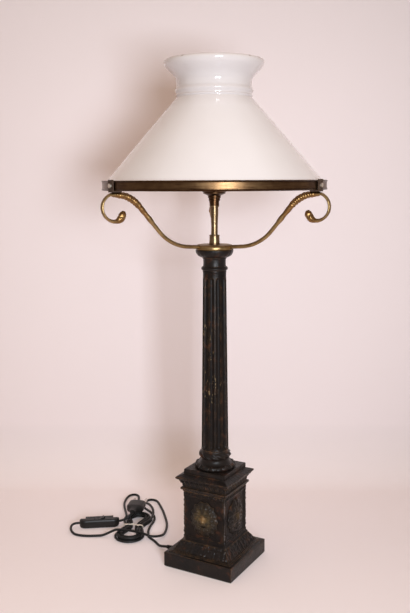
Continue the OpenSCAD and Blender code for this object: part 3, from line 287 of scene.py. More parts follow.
def add_area_light(name, azimuth, rise, distance, size, power, colour, aim):
    """A soft square lamp that points at a height on the lamp's axis."""
    a = math.radians(rise)
    data = bpy.data.lights.new(name, "AREA")
    data.shape = "SQUARE"
    data.size = size
    data.energy = power
    data.color = colour
    obj = bpy.data.objects.new(name, data)
    place = turned(azimuth, distance * math.cos(a), aim + distance * math.sin(a))
    toward = Vector((0.0, 0.0, aim)) - place
    obj.matrix_world = Matrix.Translation(place) @ toward.to_track_quat("-Z", "Y").to_matrix().to_4x4()
    bpy.context.scene.collection.objects.link(obj)


def add_world():
    """Warm pale light, strongest from overhead."""
    world = bpy.data.worlds.new("world")
    bpy.context.scene.world = world
    world.use_nodes = True
    tree = world.node_tree
    background = tree.nodes["Background"]
    background.inputs["Color"].default_value = (*WORLD_COLOUR, 1.0)
    height = tree.nodes.new("ShaderNodeSeparateXYZ")
    tree.links.new(tree.nodes.new("ShaderNodeTexCoord").outputs["Generated"], height.inputs[0])
    rise = tree.nodes.new("ShaderNodeMapRange")
    tree.links.new(height.outputs["Z"], rise.inputs["Value"])
    rise.inputs["To Min"].default_value = WORLD_LEVEL
    rise.inputs["To Max"].default_value = WORLD_TOP
    tree.links.new(rise.outputs[0], background.inputs["Strength"])
    shown = tree.nodes.new("ShaderNodeBackground")
    shown.inputs["Color"].default_value = (*BACKGROUND, 1.0)
    rays = tree.nodes.new("ShaderNodeLightPath")
    seen = rays.outputs["Is Camera Ray"]
    for kind in ("Is Glossy Ray", "Is Transmission Ray"):
        either = tree.nodes.new("ShaderNodeMath")
        either.operation = "MAXIMUM"
        tree.links.new(seen, either.inputs[0])
        tree.links.new(rays.outputs[kind], either.inputs[1])
        seen = either.outputs[0]
    mix = tree.nodes.new("ShaderNodeMixShader")
    tree.links.new(seen, mix.inputs[0])
    tree.links.new(background.outputs[0], mix.inputs[1])
    tree.links.new(shown.outputs[0], mix.inputs[2])
    tree.links.new(mix.outputs[0], tree.nodes["World Output"].inputs["Surface"])


# Materials

class Paint:
    """A Principled material and short ways to feed it."""

    def __init__(self, name, **scalars):
        self.material = bpy.data.materials.new(name)
        self.material.use_nodes = True
        self.tree = self.material.node_tree
        self.shader = self.tree.nodes["Principled BSDF"]
        for key, value in scalars.items():
            self.shader.inputs[key.replace("_", " ")].default_value = value
        self.place = self.tree.nodes.new("ShaderNodeTexCoord").outputs["Object"]

    def node(self, kind, **inputs):
        node = self.tree.nodes.new(kind)
        for key, value in inputs.items():
            socket = node.inputs[key]
            if isinstance(value, bpy.types.NodeSocket):
                self.tree.links.new(value, socket)
            else:
                socket.default_value = value
        return node

    def stretched(self, scale):
        return self.node("ShaderNodeMapping", Vector=self.place, Scale=scale).outputs[0]

    def noise(self, scale, detail=4.0, roughness=0.55, stretch=None):
        place = self.stretched(stretch) if stretch else self.place
        node = self.node("ShaderNodeTexNoise", Vector=place, Scale=scale, Detail=detail, Roughness=roughness)
        return node.outputs[0]

    def cells(self, scale, stretch=None):
        place = self.stretched(stretch) if stretch else self.place
        return self.node("ShaderNodeTexVoronoi", Vector=place, Scale=scale).outputs["Distance"]

    def ramp(self, value, low, high, start=0.0, end=1.0):
        node = self.node("ShaderNodeMapRange", Value=value)
        node.inputs["From Min"].default_value = low
        node.inputs["From Max"].default_value = high
        node.inputs["To Min"].default_value = start
        node.inputs["To Max"].default_value = end
        return node.outputs[0]

    def math(self, operation, a, b):
        node = self.tree.nodes.new("ShaderNodeMath")
        node.operation = operation
        for socket, value in zip(node.inputs, (a, b)):
            if isinstance(value, bpy.types.NodeSocket):
                self.tree.links.new(value, socket)
            else:
                socket.default_value = value
        return node.outputs[0]

    def blend(self, factor, a, b):
        node = self.tree.nodes.new("ShaderNodeMix")
        node.data_type = "RGBA"
        for socket, value in ((node.inputs[0], factor), (node.inputs[6], a), (node.inputs[7], b)):
            if isinstance(value, bpy.types.NodeSocket):
                self.tree.links.new(value, socket)
            else:
                socket.default_value = (*value, 1.0) if isinstance(value, tuple) else value
        return node.outputs[2]

    def edges(self, radius):
        """1 on edges that stick out or in by about that radius, 0 on flat places."""
        soft = self.node("ShaderNodeBevel", Radius=radius)
        soft.samples = 6
        hard = self.tree.nodes.new("ShaderNodeNewGeometry")
        dot = self.tree.nodes.new("ShaderNodeVectorMath")
        dot.operation = "DOT_PRODUCT"
        self.tree.links.new(soft.outputs[0], dot.inputs[0])
        self.tree.links.new(hard.outputs["Normal"], dot.inputs[1])
        return self.ramp(dot.outputs["Value"], 0.995, 0.9)

    def hollows(self, distance):
        """0 deep in a hollow and 1 in the open."""
        node = self.tree.nodes.new("ShaderNodeAmbientOcclusion")
        node.samples = 6
        node.inputs["Distance"].default_value = distance
        return node.outputs["AO"]

    def feed(self, name, socket):
        self.tree.links.new(socket, self.shader.inputs[name])

    def bump(self, height, depth):
        node = self.node("ShaderNodeBump", Height=height, Distance=depth, Strength=1.0)
        self.feed("Normal", node.outputs["Normal"])


def paper_material():
    """Pale paper with painted light and shade: a painted pool of light that fades away from its centre, painted shade
    in the cove, and painted shade on the floor in front of the lamp. What lies level glows a little for the camera.

    A camera behind the wall sees through it, so that the lamp's back can be looked at.
    """
    paint = Paint("paper", Roughness=0.9, Specular_IOR_Level=0.1)
    turn = math.radians(CAMERA_AZIMUTH)
    across, height = PAINTED_LIGHT_CENTRE
    # Painted pool of light: the paper's colour darkens with distance from this spot
    painted_light_spot = paint.node("ShaderNodeMapping", Vector=paint.place, Rotation=(0.0, 0.0, turn),
                      Location=(across * math.cos(turn), across * math.sin(turn), height),
                      Scale=(PAINTED_LIGHT_REACH, PAINTED_LIGHT_DEPTH_SCALE, PAINTED_LIGHT_REACH))
    painted_light_spot.vector_type = "TEXTURE"
    away = paint.node("ShaderNodeVectorMath", Vector=painted_light_spot.outputs[0])
    away.operation = "LENGTH"
    fade = paint.math("MINIMUM", paint.math("POWER", away.outputs["Value"], 2.0), 1.0)
    up = paint.tree.nodes.new("ShaderNodeSeparateXYZ")
    paint.tree.links.new(paint.tree.nodes.new("ShaderNodeNewGeometry").outputs["Normal"], up.inputs[0])
    level = up.outputs["Z"]
    even = paint.blend(level, WALL_COLOUR, FLOOR_COLOUR)
    # Painted shade: the paper darkens in the cove, where floor turns into wall
    cove = paint.math("POWER", paint.math("MULTIPLY", level, paint.math("SUBTRACT", 1.0, level)), 0.5)
    depth = paint.node("ShaderNodeSeparateXYZ", Vector=painted_light_spot.outputs[0]).outputs["Y"]
    # Painted shade: the floor darkens in front of the lamp, toward the key light
    front = paint.ramp(depth, -FRONT_PAINTED_SHADE_FROM / PAINTED_LIGHT_DEPTH_SCALE, -FRONT_PAINTED_SHADE_TO / PAINTED_LIGHT_DEPTH_SCALE, 0.0, FRONT_PAINTED_SHADE)
    fade = paint.math("MAXIMUM", paint.math("MULTIPLY", fade, PAINTED_LIGHT_FALLOFF), front)
    shade = paint.math("ADD", fade, paint.math("MULTIPLY", cove, 2 * COVE_SHADE))
    colour = paint.blend(shade, even, (0.0, 0.0, 0.0))
    paint.feed("Base Color", colour)
    rays = paint.tree.nodes.new("ShaderNodeLightPath")
    seen = paint.math("MAXIMUM", rays.outputs["Is Camera Ray"], rays.outputs["Is Glossy Ray"])
    seen = paint.math("MAXIMUM", seen, rays.outputs["Is Transmission Ray"])
    paint.feed("Emission Color", colour)
    paint.feed("Emission Strength", paint.math("MULTIPLY", seen, paint.math("MULTIPLY", level, FLOOR_GLOW)))
    behind = paint.tree.nodes.new("ShaderNodeNewGeometry").outputs["Backfacing"]
    see_through = paint.tree.nodes.new("ShaderNodeMixShader")
    paint.tree.links.new(paint.math("MULTIPLY", behind, rays.outputs["Is Camera Ray"]), see_through.inputs[0])
    paint.tree.links.new(paint.shader.outputs[0], see_through.inputs[1])
    paint.tree.links.new(paint.tree.nodes.new("ShaderNodeBsdfTransparent").outputs[0], see_through.inputs[2])
    paint.tree.links.new(see_through.outputs[0], paint.tree.nodes["Material Output"].inputs["Surface"])
    return paint.material


def bronze_material(name, wear, gloss=0.22, gilded=False, painted_corner_glint=False, flecked=False):
    """Dark patina, redder in patches and rubbed golden brown on high edges.

    A gilded piece keeps gold at its middle, on its open places only, its hollows kept dark partly as painted shade; one
    with grey corners gets a painted highlight in patches along the block's corner beads; and a flecked one keeps specks
    of old gilding half way up the column.
    """
    paint = Paint(name, Specular_IOR_Level=gloss)
    at = paint.node("ShaderNodeSeparateXYZ", Vector=paint.place).outputs
    off_x = paint.math("ABSOLUTE", at["X"], 0.0)
    off_y = paint.math("ABSOLUTE", at["Y"], 0.0)
    fine = paint.noise(420.0, detail=5.0)
    broad = paint.noise(38.0, detail=4.0, roughness=0.6)
    patches = paint.noise(90.0, detail=6.0, roughness=0.68)
    high = paint.hollows(0.003)
    dark = paint.blend(paint.ramp(broad, 0.35, 0.65), (0.006, 0.005, 0.005), (0.012, 0.008, 0.006))
    rust = paint.blend(paint.ramp(patches, 0.56, 0.7), dark, (0.055, 0.021, 0.011))
    worn = paint.math("MULTIPLY", paint.edges(0.0012), paint.ramp(patches, 0.4, 0.62, 0.0, wear))
    worn = paint.math("MULTIPLY", worn, paint.ramp(high, 0.4, 0.9))
    rubbed = paint.blend(worn, rust, (0.18, 0.105, 0.05))
    colour = rubbed
    if flecked:
        clusters = paint.ramp(paint.noise(24.0, detail=2.0), 0.42, 0.54)
        low, high_up = FLECK_Z
        belt = paint.math("MULTIPLY", paint.ramp(at["Z"], low * MM, (low + 30.0) * MM),
                          paint.ramp(at["Z"], high_up * MM, (high_up - 30.0) * MM))
        flecks = paint.ramp(paint.noise(500.0, detail=2.0, stretch=(1.0, 1.0, 0.35)), 0.62, 0.68, 0.0, 0.8)
        clusters = paint.math("MULTIPLY", clusters, belt)
        colour = paint.blend(paint.math("MULTIPLY", flecks, clusters), rubbed, (0.34, 0.24, 0.12))
    metal = paint.math("MULTIPLY", worn, 0.7)
    if gilded:
        across = paint.math("MINIMUM", off_x, off_y)
        above = paint.math("ABSOLUTE", paint.math("SUBTRACT", at["Z"], (MASK_Z + 2.0) * MM), 0.0)
        reach = paint.math("POWER", paint.math("ADD", paint.math("POWER", across, 2.0),
                                               paint.math("POWER", above, 2.0)), 0.5)
        # Gilding and the mane's tone go only on the mask's open places; its hollows stay dark, partly as painted shade
        open_places = paint.ramp(high, 0.6, 0.95)
        front = paint.ramp(at["Y"], -0.026, -0.029, 0.2, 1.0)
        open_places = paint.math("MULTIPLY", open_places, front)
        gold = paint.math("MULTIPLY", paint.ramp(reach, 0.001, 0.007), open_places)
        mane = paint.math("MULTIPLY", paint.ramp(patches, 0.4, 0.6, 0.1, 0.6), open_places)
        mane = paint.math("MULTIPLY", mane, paint.ramp(reach, 0.005, 0.019, 1.0, 0.12))
        colour = paint.blend(mane, colour, (0.13, 0.09, 0.035))
        middle = paint.math("SUBTRACT", open_places, gold)
        colour = paint.blend(paint.math("MULTIPLY", middle, 0.9), colour, (0.22, 0.13, 0.05))
        metal = paint.math("MAXIMUM", metal, paint.math("MULTIPLY", middle, 0.4))
    if painted_corner_glint:
        # Painted highlight: grey in patches along the block's corner beads, where the light would catch them
        corner = paint.ramp(paint.math("ADD", off_x, off_y), (2 * DIE_HALF - 2.4) * MM, (2 * DIE_HALF - 1.3) * MM)
        corner = paint.math("MULTIPLY", corner, paint.ramp(patches, 0.45, 0.6, 0.05, 0.7))
        colour = paint.blend(corner, colour, (0.085, 0.072, 0.068))
    paint.feed("Base Color", colour)
    paint.feed("Metallic", metal)
    paint.feed("Roughness", paint.ramp(fine, 0.3, 0.7, 0.26, 0.46))
    paint.bump(paint.math("ADD", fine, paint.math("MULTIPLY", patches, 2.0)), 0.00025)
    return paint.material


def gilt_material(name, light, dark, roughness, grain, depth, outer=None, knot=0.0, crown=0.0):
    """Old gilding that has gone brown in its hollows, with another tone between the arms' knots and crowns."""
    paint = Paint(name, Metallic=1.0)
    stains = paint.noise(140.0, detail=5.0, roughness=0.6)
    fine = paint.noise(grain, detail=4.0)
    if outer:
        level = paint.stretched((1.0, 1.0, 0.0))
        radius = paint.node("ShaderNodeVectorMath", Vector=level)
        radius.operation = "LENGTH"
        leafy = paint.math("MULTIPLY", paint.ramp(radius.outputs["Value"], knot - 0.002, knot + 0.002),
                           paint.ramp(radius.outputs["Value"], crown + 0.004, crown - 0.001))
        light = paint.blend(leafy, light, outer)
    tone = paint.math("MULTIPLY", paint.hollows(0.004), paint.ramp(stains, 0.3, 0.6, 0.45, 1.0))
    paint.feed("Base Color", paint.blend(tone, dark, light))
    paint.feed("Roughness", paint.ramp(fine, 0.3, 0.7, roughness - 0.07, roughness + 0.1))
    paint.bump(fine, depth)
    return paint.material


def ring_material():
    """Brown brass with fine scratches along the ring, painted lighter in a band round its middle and darker towards its
    top and bottom edges, as painted highlight and shade.
    """
    paint = Paint("aged_brass", Metallic=1.0)
    bands = paint.noise(700.0, detail=3.0, stretch=(0.06, 0.06, 1.0))
    stains = paint.noise(45.0, detail=6.0, roughness=0.65)
    tone = paint.math("MULTIPLY", paint.ramp(bands, 0.3, 0.7, 0.5, 1.0), paint.ramp(stains, 0.35, 0.62, 0.4, 1.0))
    low, high = (corner[2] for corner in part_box("shade_ring"))
    height = paint.node("ShaderNodeSeparateXYZ", Vector=paint.place).outputs["Z"]
    # Painted highlight and shade: the colour is darkest at the ring's top and bottom edges and lightest in a band round
    # its middle
    off_middle = paint.math("ABSOLUTE", paint.math("SUBTRACT", height, (low + high) / 2), 0.0)
    tone = paint.math("MULTIPLY", tone, paint.ramp(off_middle, 0.2 * (high - low), 0.42 * (high - low), 1.0, 0.3))
    paint.feed("Base Color", paint.blend(tone, (0.045, 0.018, 0.008), (0.17, 0.10, 0.046)))
    paint.feed("Roughness", paint.ramp(bands, 0.3, 0.7, 0.26, 0.44))
    paint.bump(bands, 0.00003)
    return paint.material


def opal_material():
    """Opal glass: white in the mass, glossy, with a few seeds and faint waves, and painted darker from the neck up as
    painted shade.
    """
    paint = Paint("opal_glass", IOR=1.5, Coat_Weight=0.35, Coat_Roughness=0.03)
    waves = paint.noise(14.0, detail=2.0)
    seeds = paint.ramp(paint.cells(160.0), 0.0, 0.055, 0.0, 1.0)
    height = paint.node("ShaderNodeSeparateXYZ", Vector=paint.place).outputs["Z"]
    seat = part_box("glass_shade")[0][2]
    # Painted shade: from just below the neck upward the glass is painted darker, where the neck and lip look darker in
    # the light
    neck = paint.ramp(height, seat + (GLASS_NECK_Z - 14.0) * MM, seat + (GLASS_NECK_Z + 4.0) * MM)
    white = paint.blend(paint.ramp(waves, 0.3, 0.7), (0.75, 0.71, 0.715), (0.78, 0.74, 0.745))
    tone = paint.blend(neck, white, (0.67, 0.615, 0.605))
    rim = paint.ramp(height, seat + (GLASS_TOP - 2.5) * MM, seat + (GLASS_TOP - 0.8) * MM)
    chips = paint.math("MULTIPLY", paint.ramp(paint.noise(120.0, detail=3.0), 0.6, 0.66), rim)
    tone = paint.blend(chips, tone, (0.22, 0.13, 0.09))
    paint.feed("Base Color", paint.blend(paint.ramp(seeds, 0.0, 1.0, 0.9, 1.0), (0.55, 0.50, 0.45), tone))
    paint.feed("Roughness", paint.ramp(waves, 0.3, 0.7, 0.09, 0.14))
    paint.bump(waves, 0.0004)
    return paint.material


def plain_material(name, colour, roughness, metallic=0.0, grain=500.0, depth=0.00004, spread=0.12, gloss=0.5):
    """One colour with a fine grain and slight wear."""
    paint = Paint(name, Metallic=metallic, Specular_IOR_Level=gloss)
    fine = paint.noise(grain, detail=4.0)
    broad = paint.noise(grain / 12.0, detail=3.0)
    pale = tuple(min(1.0, c * (1 + spread)) for c in colour)
    deep = tuple(c * (1 - spread) for c in colour)
    paint.feed("Base Color", paint.blend(paint.ramp(broad, 0.3, 0.7), deep, pale))
    paint.feed("Roughness", paint.ramp(fine, 0.3, 0.7, roughness - 0.06, roughness + 0.06))
    paint.bump(fine, depth)
    return paint.material


def felt_material():
    paint = Paint("green_felt", Roughness=0.95, Sheen_Weight=0.4)
    fibres = paint.noise(1800.0, detail=3.0, stretch=(1.0, 0.3, 1.0))
    paint.feed("Base Color", paint.blend(fibres, (0.008, 0.013, 0.009), (0.03, 0.042, 0.03)))
    paint.bump(fibres, 0.0003)
    return paint.material


# Shapes shared by several pieces

def smooth_line(points, steps):
    """A smooth line through the points, with that many steps from each to the next."""
    line = []
    count = len(points)
    for i in range(count - 1):
        a, b, c, d = (Vector(points[min(max(k, 0), count - 1)]) for k in (i - 1, i, i + 1, i + 2))
        for s in range(steps):
            t = s / steps
            p = (b * 2 + (c - a) * t + (a * 2 - b * 5 + c * 4 - d) * t * t + (b * 3 - a - c * 3 + d) * t ** 3) / 2
            line.append(p)
    line.append(Vector(points[-1]))
    return line


def line_lengths(line):
    """How far each point lies along a line."""
    lengths = [0.0]
    for a, b in zip(line, line[1:]):
        lengths.append(lengths[-1] + (Vector(b) - Vector(a)).length)
    return lengths


def outward_normals(line, closed):
    """Unit normals of a section that runs up its outside, pointing out of it."""
    count = len(line)
    normals = []
    for i in range(count):
        a = line[(i - 1) % count if closed else max(i - 1, 0)]
        b = line[(i + 1) % count if closed else min(i + 1, count - 1)]
        along = Vector((b[0] - a[0], b[1] - a[1]))
        along.normalize()
        normals.append((along[1], -along[0]))
    return normals


def lathe(name, line, steps, relief=None, closed=False):
    """Turns a section of (radius, height) round the lamp's axis. relief(turn, distance) raises the surface."""
    points = []
    normals = outward_normals(line, closed)
    lengths = line_lengths(line)
    for (r, z), (nr, nz), s in zip(line, normals, lengths):
        for j in range(steps):
            a = 2 * math.pi * j / steps
            rise = relief(a, s) if relief else 0.0
            radius = r + nr * rise
            points.append((radius * math.cos(a), radius * math.sin(a), z + nz * rise))
    faces = grid_faces(len(line), steps, wrap_rows=closed)
    if not closed:
        faces.append(tuple(range(steps - 1, -1, -1)))
        faces.append(tuple((len(line) - 1) * steps + j for j in range(steps)))
    return mesh_object(name, points, faces)


def square_moulding(name, line, cells, relief=None, closed=False):
    """Takes a section of (half width, height) round a square, mitred at the corners.

    relief(side, across, distance) raises the surface: across runs from corner to corner of a side.
    """
    points = []
    normals = outward_normals(line, closed)
    lengths = line_lengths(line)
    for (h, z), (nh, nz), s in zip(line, normals, lengths):
        for side in range(4):
            a = math.radians(90 * side)
            for j in range(cells):
                u = 2 * j / cells - 1
                rise = relief(side, u * h, s) if relief else 0.0
                half = h + nh * rise
                x = u * half
                points.append((x * math.cos(a) + half * math.sin(a), x * math.sin(a) - half * math.cos(a),
                               z + nz * rise))
    columns = 4 * cells
    faces = grid_faces(len(line), columns, wrap_rows=closed)
    if not closed:
        faces.append(tuple(range(columns - 1, -1, -1)))
        faces.append(tuple((len(line) - 1) * columns + j for j in range(columns)))
    return mesh_object(name, points, faces)


def split_line(line, step):
    """The same line with points no further apart than step."""
    result = [tuple(line[0])]
    for a, b in zip(line, line[1:]):
        length = math.dist(a, b)
        count = max(1, math.ceil(length / step))
        for i in range(1, count + 1):
            result.append(tuple(p + (q - p) * i / count for p, q in zip(a, b)))
    return result


def step_up(value, low, high):
    """0 below low, 1 above high, smooth between."""
    t = min(1.0, max(0.0, (value - low) / (high - low)))
    return t * t * (3 - 2 * t)


def leaf(across, along):
    """A leaf with a rib, its tip at along 0 and its foot at along 1. across runs from -1 to 1."""
    width = math.sin(math.pi * (0.08 + 0.62 * along)) if 0 <= along <= 1 else 0.0
    if width <= 0.05 or abs(across) >= width:
        return 0.0
    body = math.sqrt(1 - (across / width) ** 2)
    rib = 0.35 * math.exp(-(across / 0.12) ** 2)
    veins = 0.12 * math.cos(9 * along + 7 * abs(across))
    return body * (0.75 + veins) + rib * body


def row(position, pitch):
    """Where a position lies in a row of equal motifs, from -1 to 1."""
    return 2 * (position / pitch - math.floor(position / pitch)) - 1


def rough(x, y, z, scale, height):
    """Unevenness of a casting."""
    return height * noise.noise(Vector((x, y, z)) * scale)


# Pedestal

PLINTH_HALF = 51.0
PLINTH_CAVITY = 46.5
PLINTH_SEAT = 40.5
THROAT = 26.0
DIE_HALF = 31.5
DIE_FOOT = 33.2


def build_plinth():
    """The plinth casting: upright edge, stepped border and a slope covered in leaves."""
    border = PLINTH_HALF - 4.4
    top = PLINTH_EDGE_Z
    outside = [
        (PLINTH_HALF - 0.3, PLINTH_Z), (PLINTH_HALF, PLINTH_Z + 0.4), (PLINTH_HALF, top - 0.7),
        (PLINTH_HALF - 0.25, top - 0.2), (PLINTH_HALF - 0.8, top), (border, top), (border - 0.4, top + 0.8),
        (border - 2.2, top + 0.9), (border - 2.7, top + 1.7), (border - 4.2, top + 1.8),
    ]
    slope = [(border - 4.6, top + 1.7), (DIE_FOOT + 0.6, DIE_Z - 0.8), (DIE_FOOT, DIE_Z)]
    inside = [
        (THROAT, DIE_Z), (THROAT, 17.5), (PLINTH_SEAT, 17.5), (PLINTH_SEAT, 15.0), (PLINTH_CAVITY, 15.0),
        (PLINTH_CAVITY, PLINTH_Z),
    ]
    line = split_line(outside, 4.0) + split_line(slope, 0.45) + inside
    start = line_lengths(split_line(outside, 4.0) + [slope[0]])[-1]
    length = line_lengths(slope)[-1]

    def relief(side, across, distance):
        along = (distance - start) / length
        if not 0.0 < along < 1.0:
            return 0.0
        fade = step_up(along, 0.0, 0.06) * step_up(1 - along, 0.0, 0.06)
        big = leaf(row(across, 9.4), along * 1.05)
        small = 0.6 * leaf(row(across + 4.7, 9.4), along * 1.5 - 0.1)
        return fade * (0.7 * max(big, small) - 0.3 + rough(across, side * 50, distance, 0.3, 0.7))

    plinth = square_moulding("plinth_casting", line, 150, relief, closed=True)
    sharpen(plinth)
    return plinth


PANEL_BORDER = 4.0
PANEL_STEP = 0.8
PANEL_FOOT = 1.8
PANEL_HEAD = 5.0
CORNER_R = 1.6


def build_die():
    """The square block: corner beads, a reeded frame and a sunk panel on each face."""
    foot = [(DIE_FOOT, DIE_Z), (DIE_FOOT, DIE_Z + 1.2), (DIE_HALF + 0.9, DIE_Z + 2.2), (DIE_HALF + 0.4, DIE_Z + 3.0),
            (DIE_HALF, DIE_Z + 4.2)]
    wall = split_line([(DIE_HALF, DIE_Z + 4.2), (DIE_HALF, CORNICE_Z)], 0.55)
    inside = [(THROAT, CORNICE_Z), (THROAT, DIE_Z)]
    line = split_line(foot, 0.6)[:-1] + wall + inside
    wall_start = line_lengths(split_line(foot, 0.6))[-1]
    wall_height = CORNICE_Z - DIE_Z - 4.2

    def relief(side, across, distance):
        up = distance - wall_start
        if not 0.0 < up < wall_height:
            return 0.0
        edge = DIE_HALF - abs(across)
        low = up - PANEL_FOOT
        high = wall_height - up - PANEL_HEAD
        inset = min(edge - PANEL_BORDER, low, high)
        sunk = -PANEL_STEP * step_up(inset, -0.3, 0.3) - PANEL_STEP * step_up(inset, 1.7, 2.3)
        reeds = 0.0
        if -2.2 < inset < -0.3:
            reeds = 0.3 * math.cos(2 * math.pi * (inset + 0.5) / 1.0)
        bead = -0.4 * math.exp(-((edge - CORNER_R - 0.4) / 0.4) ** 2)
        if edge < CORNER_R:
            turn = CORNER_R - 0.293 * CORNER_R - 0.707 * edge
            bead -= CORNER_R - math.sqrt(CORNER_R ** 2 - turn ** 2)
            bead += rough(7.0, 3.0, up, 0.3, 0.7) * step_up(CORNER_R - edge, 0.0, 1.0)
        frieze = 0.0
        if high < -0.8:
            fall = (wall_height - up - 0.8) / 6.0
            frieze = 0.7 * leaf(row(across, 4.2), fall) * step_up(edge, 1.5, 3.0)
        uneven = rough(across, side * 60, up, 0.25, 0.22) * step_up(edge, 0.0, 1.5)
        return (sunk + reeds + bead + frieze + uneven) * step_up(min(up, wall_height - up), 0.0, 0.6)

    die = square_moulding("die_casting", line, 116, relief, closed=True)
    sharpen(die, 50.0)
    return die


MASK_WIDTH = 40.0
MASK_HEIGHT = 48.4
MASK_EDGE = 1.2
MASK_Z = 69.2
PANEL_FACE = 29.9
# Bumps of the lion's face: distance from the middle, height, half width, half height, rise
FACE_BUMPS = [
    (0, 1, 9.5, 13, 1.6), (0, 3, 1.9, 6.5, 1.5), (0, -2.2, 2.5, 1.6, 1.4), (1.3, -3.6, 0.6, 0.6, -0.8),
    (4.5, 7.3, 3.3, 1.2, 1.4), (4.5, 4.1, 2.2, 1.5, -1.5), (4.4, 4.1, 1.15, 0.85, 1.1), (2.9, -5.6, 2.5, 2.0, 1.3),
    (0, -8.7, 4.0, 0.75, -1.7), (0, -10.3, 2.8, 0.9, 0.8), (0, -13.2, 2.4, 2.2, 1.4), (6.9, -2.0, 1.9, 4.2, 0.8),
    (8.4, 10.6, 2.0, 2.2, 1.7), (8.4, 10.4, 0.9, 1.1, -1.2), (2.0, 11.5, 1.2, 3.0, 0.7),
]
MANE_ROWS = ((0.66, 15, 2.1), (0.86, 19, 2.3))


def mask_edge(angle):
    """Distance from the mask's middle to its edge."""
    wave = 1 + 0.045 * math.cos(14 * angle)
    return wave / math.hypot(2 * math.cos(angle) / MASK_WIDTH, 2 * math.sin(angle) / MASK_HEIGHT)


def lion(x, z):
    """Height of the lion's head in its mane over the mask's edge."""
    dome = 1 - (2 * x / MASK_WIDTH) ** 2 - (2 * z / MASK_HEIGHT) ** 2
    height = 1.2 + 1.6 * max(0.0, dome)
    for at_x, at_z, wide, tall, rise in FACE_BUMPS:
        height += rise * math.exp(-((abs(x) - at_x) / wide) ** 2 - ((z - at_z) / tall) ** 2)
    for share, count, size in MANE_ROWS:
        for k in range(count):
            a = 2 * math.pi * (k + 0.5) / count + math.pi / 2
            reach = mask_edge(a) * share
            dx = x - reach * math.cos(a)
            dz = z - reach * math.sin(a)
            d = math.hypot(dx, dz)
            if d > 3 * size:
                continue
            turn = math.atan2(dz, dx) * (1 if k % 2 else -1)
            curl = 0.75 + 0.45 * math.cos(turn + 3.4 * d / size)
            height += 1.5 * curl * math.exp(-(d / size) ** 2)
    return height


def build_mask(name, heading):
    """One lion's mask, its back against the sunk panel."""
    rings = 44
    spokes = 132
    face = PANEL_FACE + 0.03
    front = [(0.0, -face - MASK_EDGE - lion(0.0, 0.0), 0.0)]
    for i in range(1, rings + 1):
        share = i / rings
        for j in range(spokes):
            a = 2 * math.pi * j / spokes
            r = mask_edge(a) * share
            x = r * math.cos(a)
            z = r * math.sin(a)
            front.append((x, -face - MASK_EDGE - lion(x, z) * (1 - share ** 7), z))
    rim = [(mask_edge(2 * math.pi * j / spokes) * math.cos(2 * math.pi * j / spokes), -face,
            mask_edge(2 * math.pi * j / spokes) * math.sin(2 * math.pi * j / spokes)) for j in range(spokes)]
    points = front + rim
    faces = [(0, 1 + j, 1 + (j + 1) % spokes) for j in range(spokes)]
    for i in range(rings):
        for j in range(spokes):
            a = 1 + i * spokes + j
            b = 1 + i * spokes + (j + 1) % spokes
            faces.append((a, a + spokes, b + spokes, b))
    faces.append(tuple(1 + rings * spokes + j for j in range(spokes - 1, -1, -1)))
    mask = mesh_object(name, points, faces)
    mask.data.transform(Matrix.Rotation(math.radians(heading), 4, "Z") @ Matrix.Translation((0, 0, MASK_Z * MM)))
    sharpen(mask, 60.0)
    return mask


def build_cornice():
    """The moulded cornice, with a row of leaves under each projecting edge."""
    half = DIE_HALF
    plate = half + 7.8
    z = CORNICE_Z
    lower = smooth_line([(half, z), (half + 0.3, z + 1.6), (half + 2.1, z + 3.0), (half + 2.7, z + 4.4)], 6)
    lower += [Vector((half + 2.8, z + 4.6)), Vector((half + 2.8, z + 5.6)), Vector((half + 2.4, z + 6.0)),
              Vector((half + 0.8, z + 6.6))]
    cyma = smooth_line([(half + 0.4, z + 7.6), (half + 0.4, z + 9.4), (half + 1.1, z + 12.0), (half + 3.1, z + 15.0),
                        (plate - 1.6, z + 17.4)], 10)
    top = [Vector(p) for p in ((plate - 0.2, z + 18.8), (plate, z + 19.2), (plate, z + 20.6), (plate - 0.4, z + 21.0),
                               (plate - 1.6, z + 21.4), (half + 1.0, z + 23.4), (half - 0.1, z + 23.9),
                               (half - 0.5, ABACUS_Z))]
    line = lower + cyma + top
    lengths = line_lengths(line)
    cyma_start = lengths[len(lower)]
    cyma_length = lengths[len(lower) + len(cyma) - 1] - cyma_start

    def relief(side, across, distance):
        if distance < 5.4:
            return 0.45 * leaf(row(across, 3.6), 1 - distance / 5.4)
        along = (distance - cyma_start) / cyma_length
        if 0.0 < along < 1.0:
            fade = step_up(along, 0.0, 0.1) * step_up(1 - along, 0.0, 0.1)
            return fade * (1.5 * leaf(row(across, 7.4), 1 - along) - 0.5)
        return rough(across, side * 50, distance, 0.4, 0.3) * step_up(along, 1.0, 1.1)

    cornice = square_moulding("cornice_casting", line, 140, relief)
    sharpen(cornice, 40.0)
    return cornice


def build_abacus():
    """The square plate under the column, its edges worn round."""
    half = DIE_HALF - 0.7
    line = [(half - 0.3, ABACUS_Z), (half, ABACUS_Z + 0.3), (half, COLUMN_Z - 0.9), (half - 0.3, COLUMN_Z - 0.25),
            (half - 0.9, COLUMN_Z), (half - 8.0, COLUMN_Z + 0.02)]

    def relief(side, across, distance):
        return rough(across, side * 40, distance, 0.3, 0.3)

    abacus = square_moulding("abacus_plate", split_line(line, 1.2), 60, relief)
    sharpen(abacus, 50.0)
    return abacus


# Column

FLECK_Z = (215.0, 345.0)
SHAFT_R_LOW = 18.0
SHAFT_R_TOP = 15.2
ROD_HOLE_R = 5.3


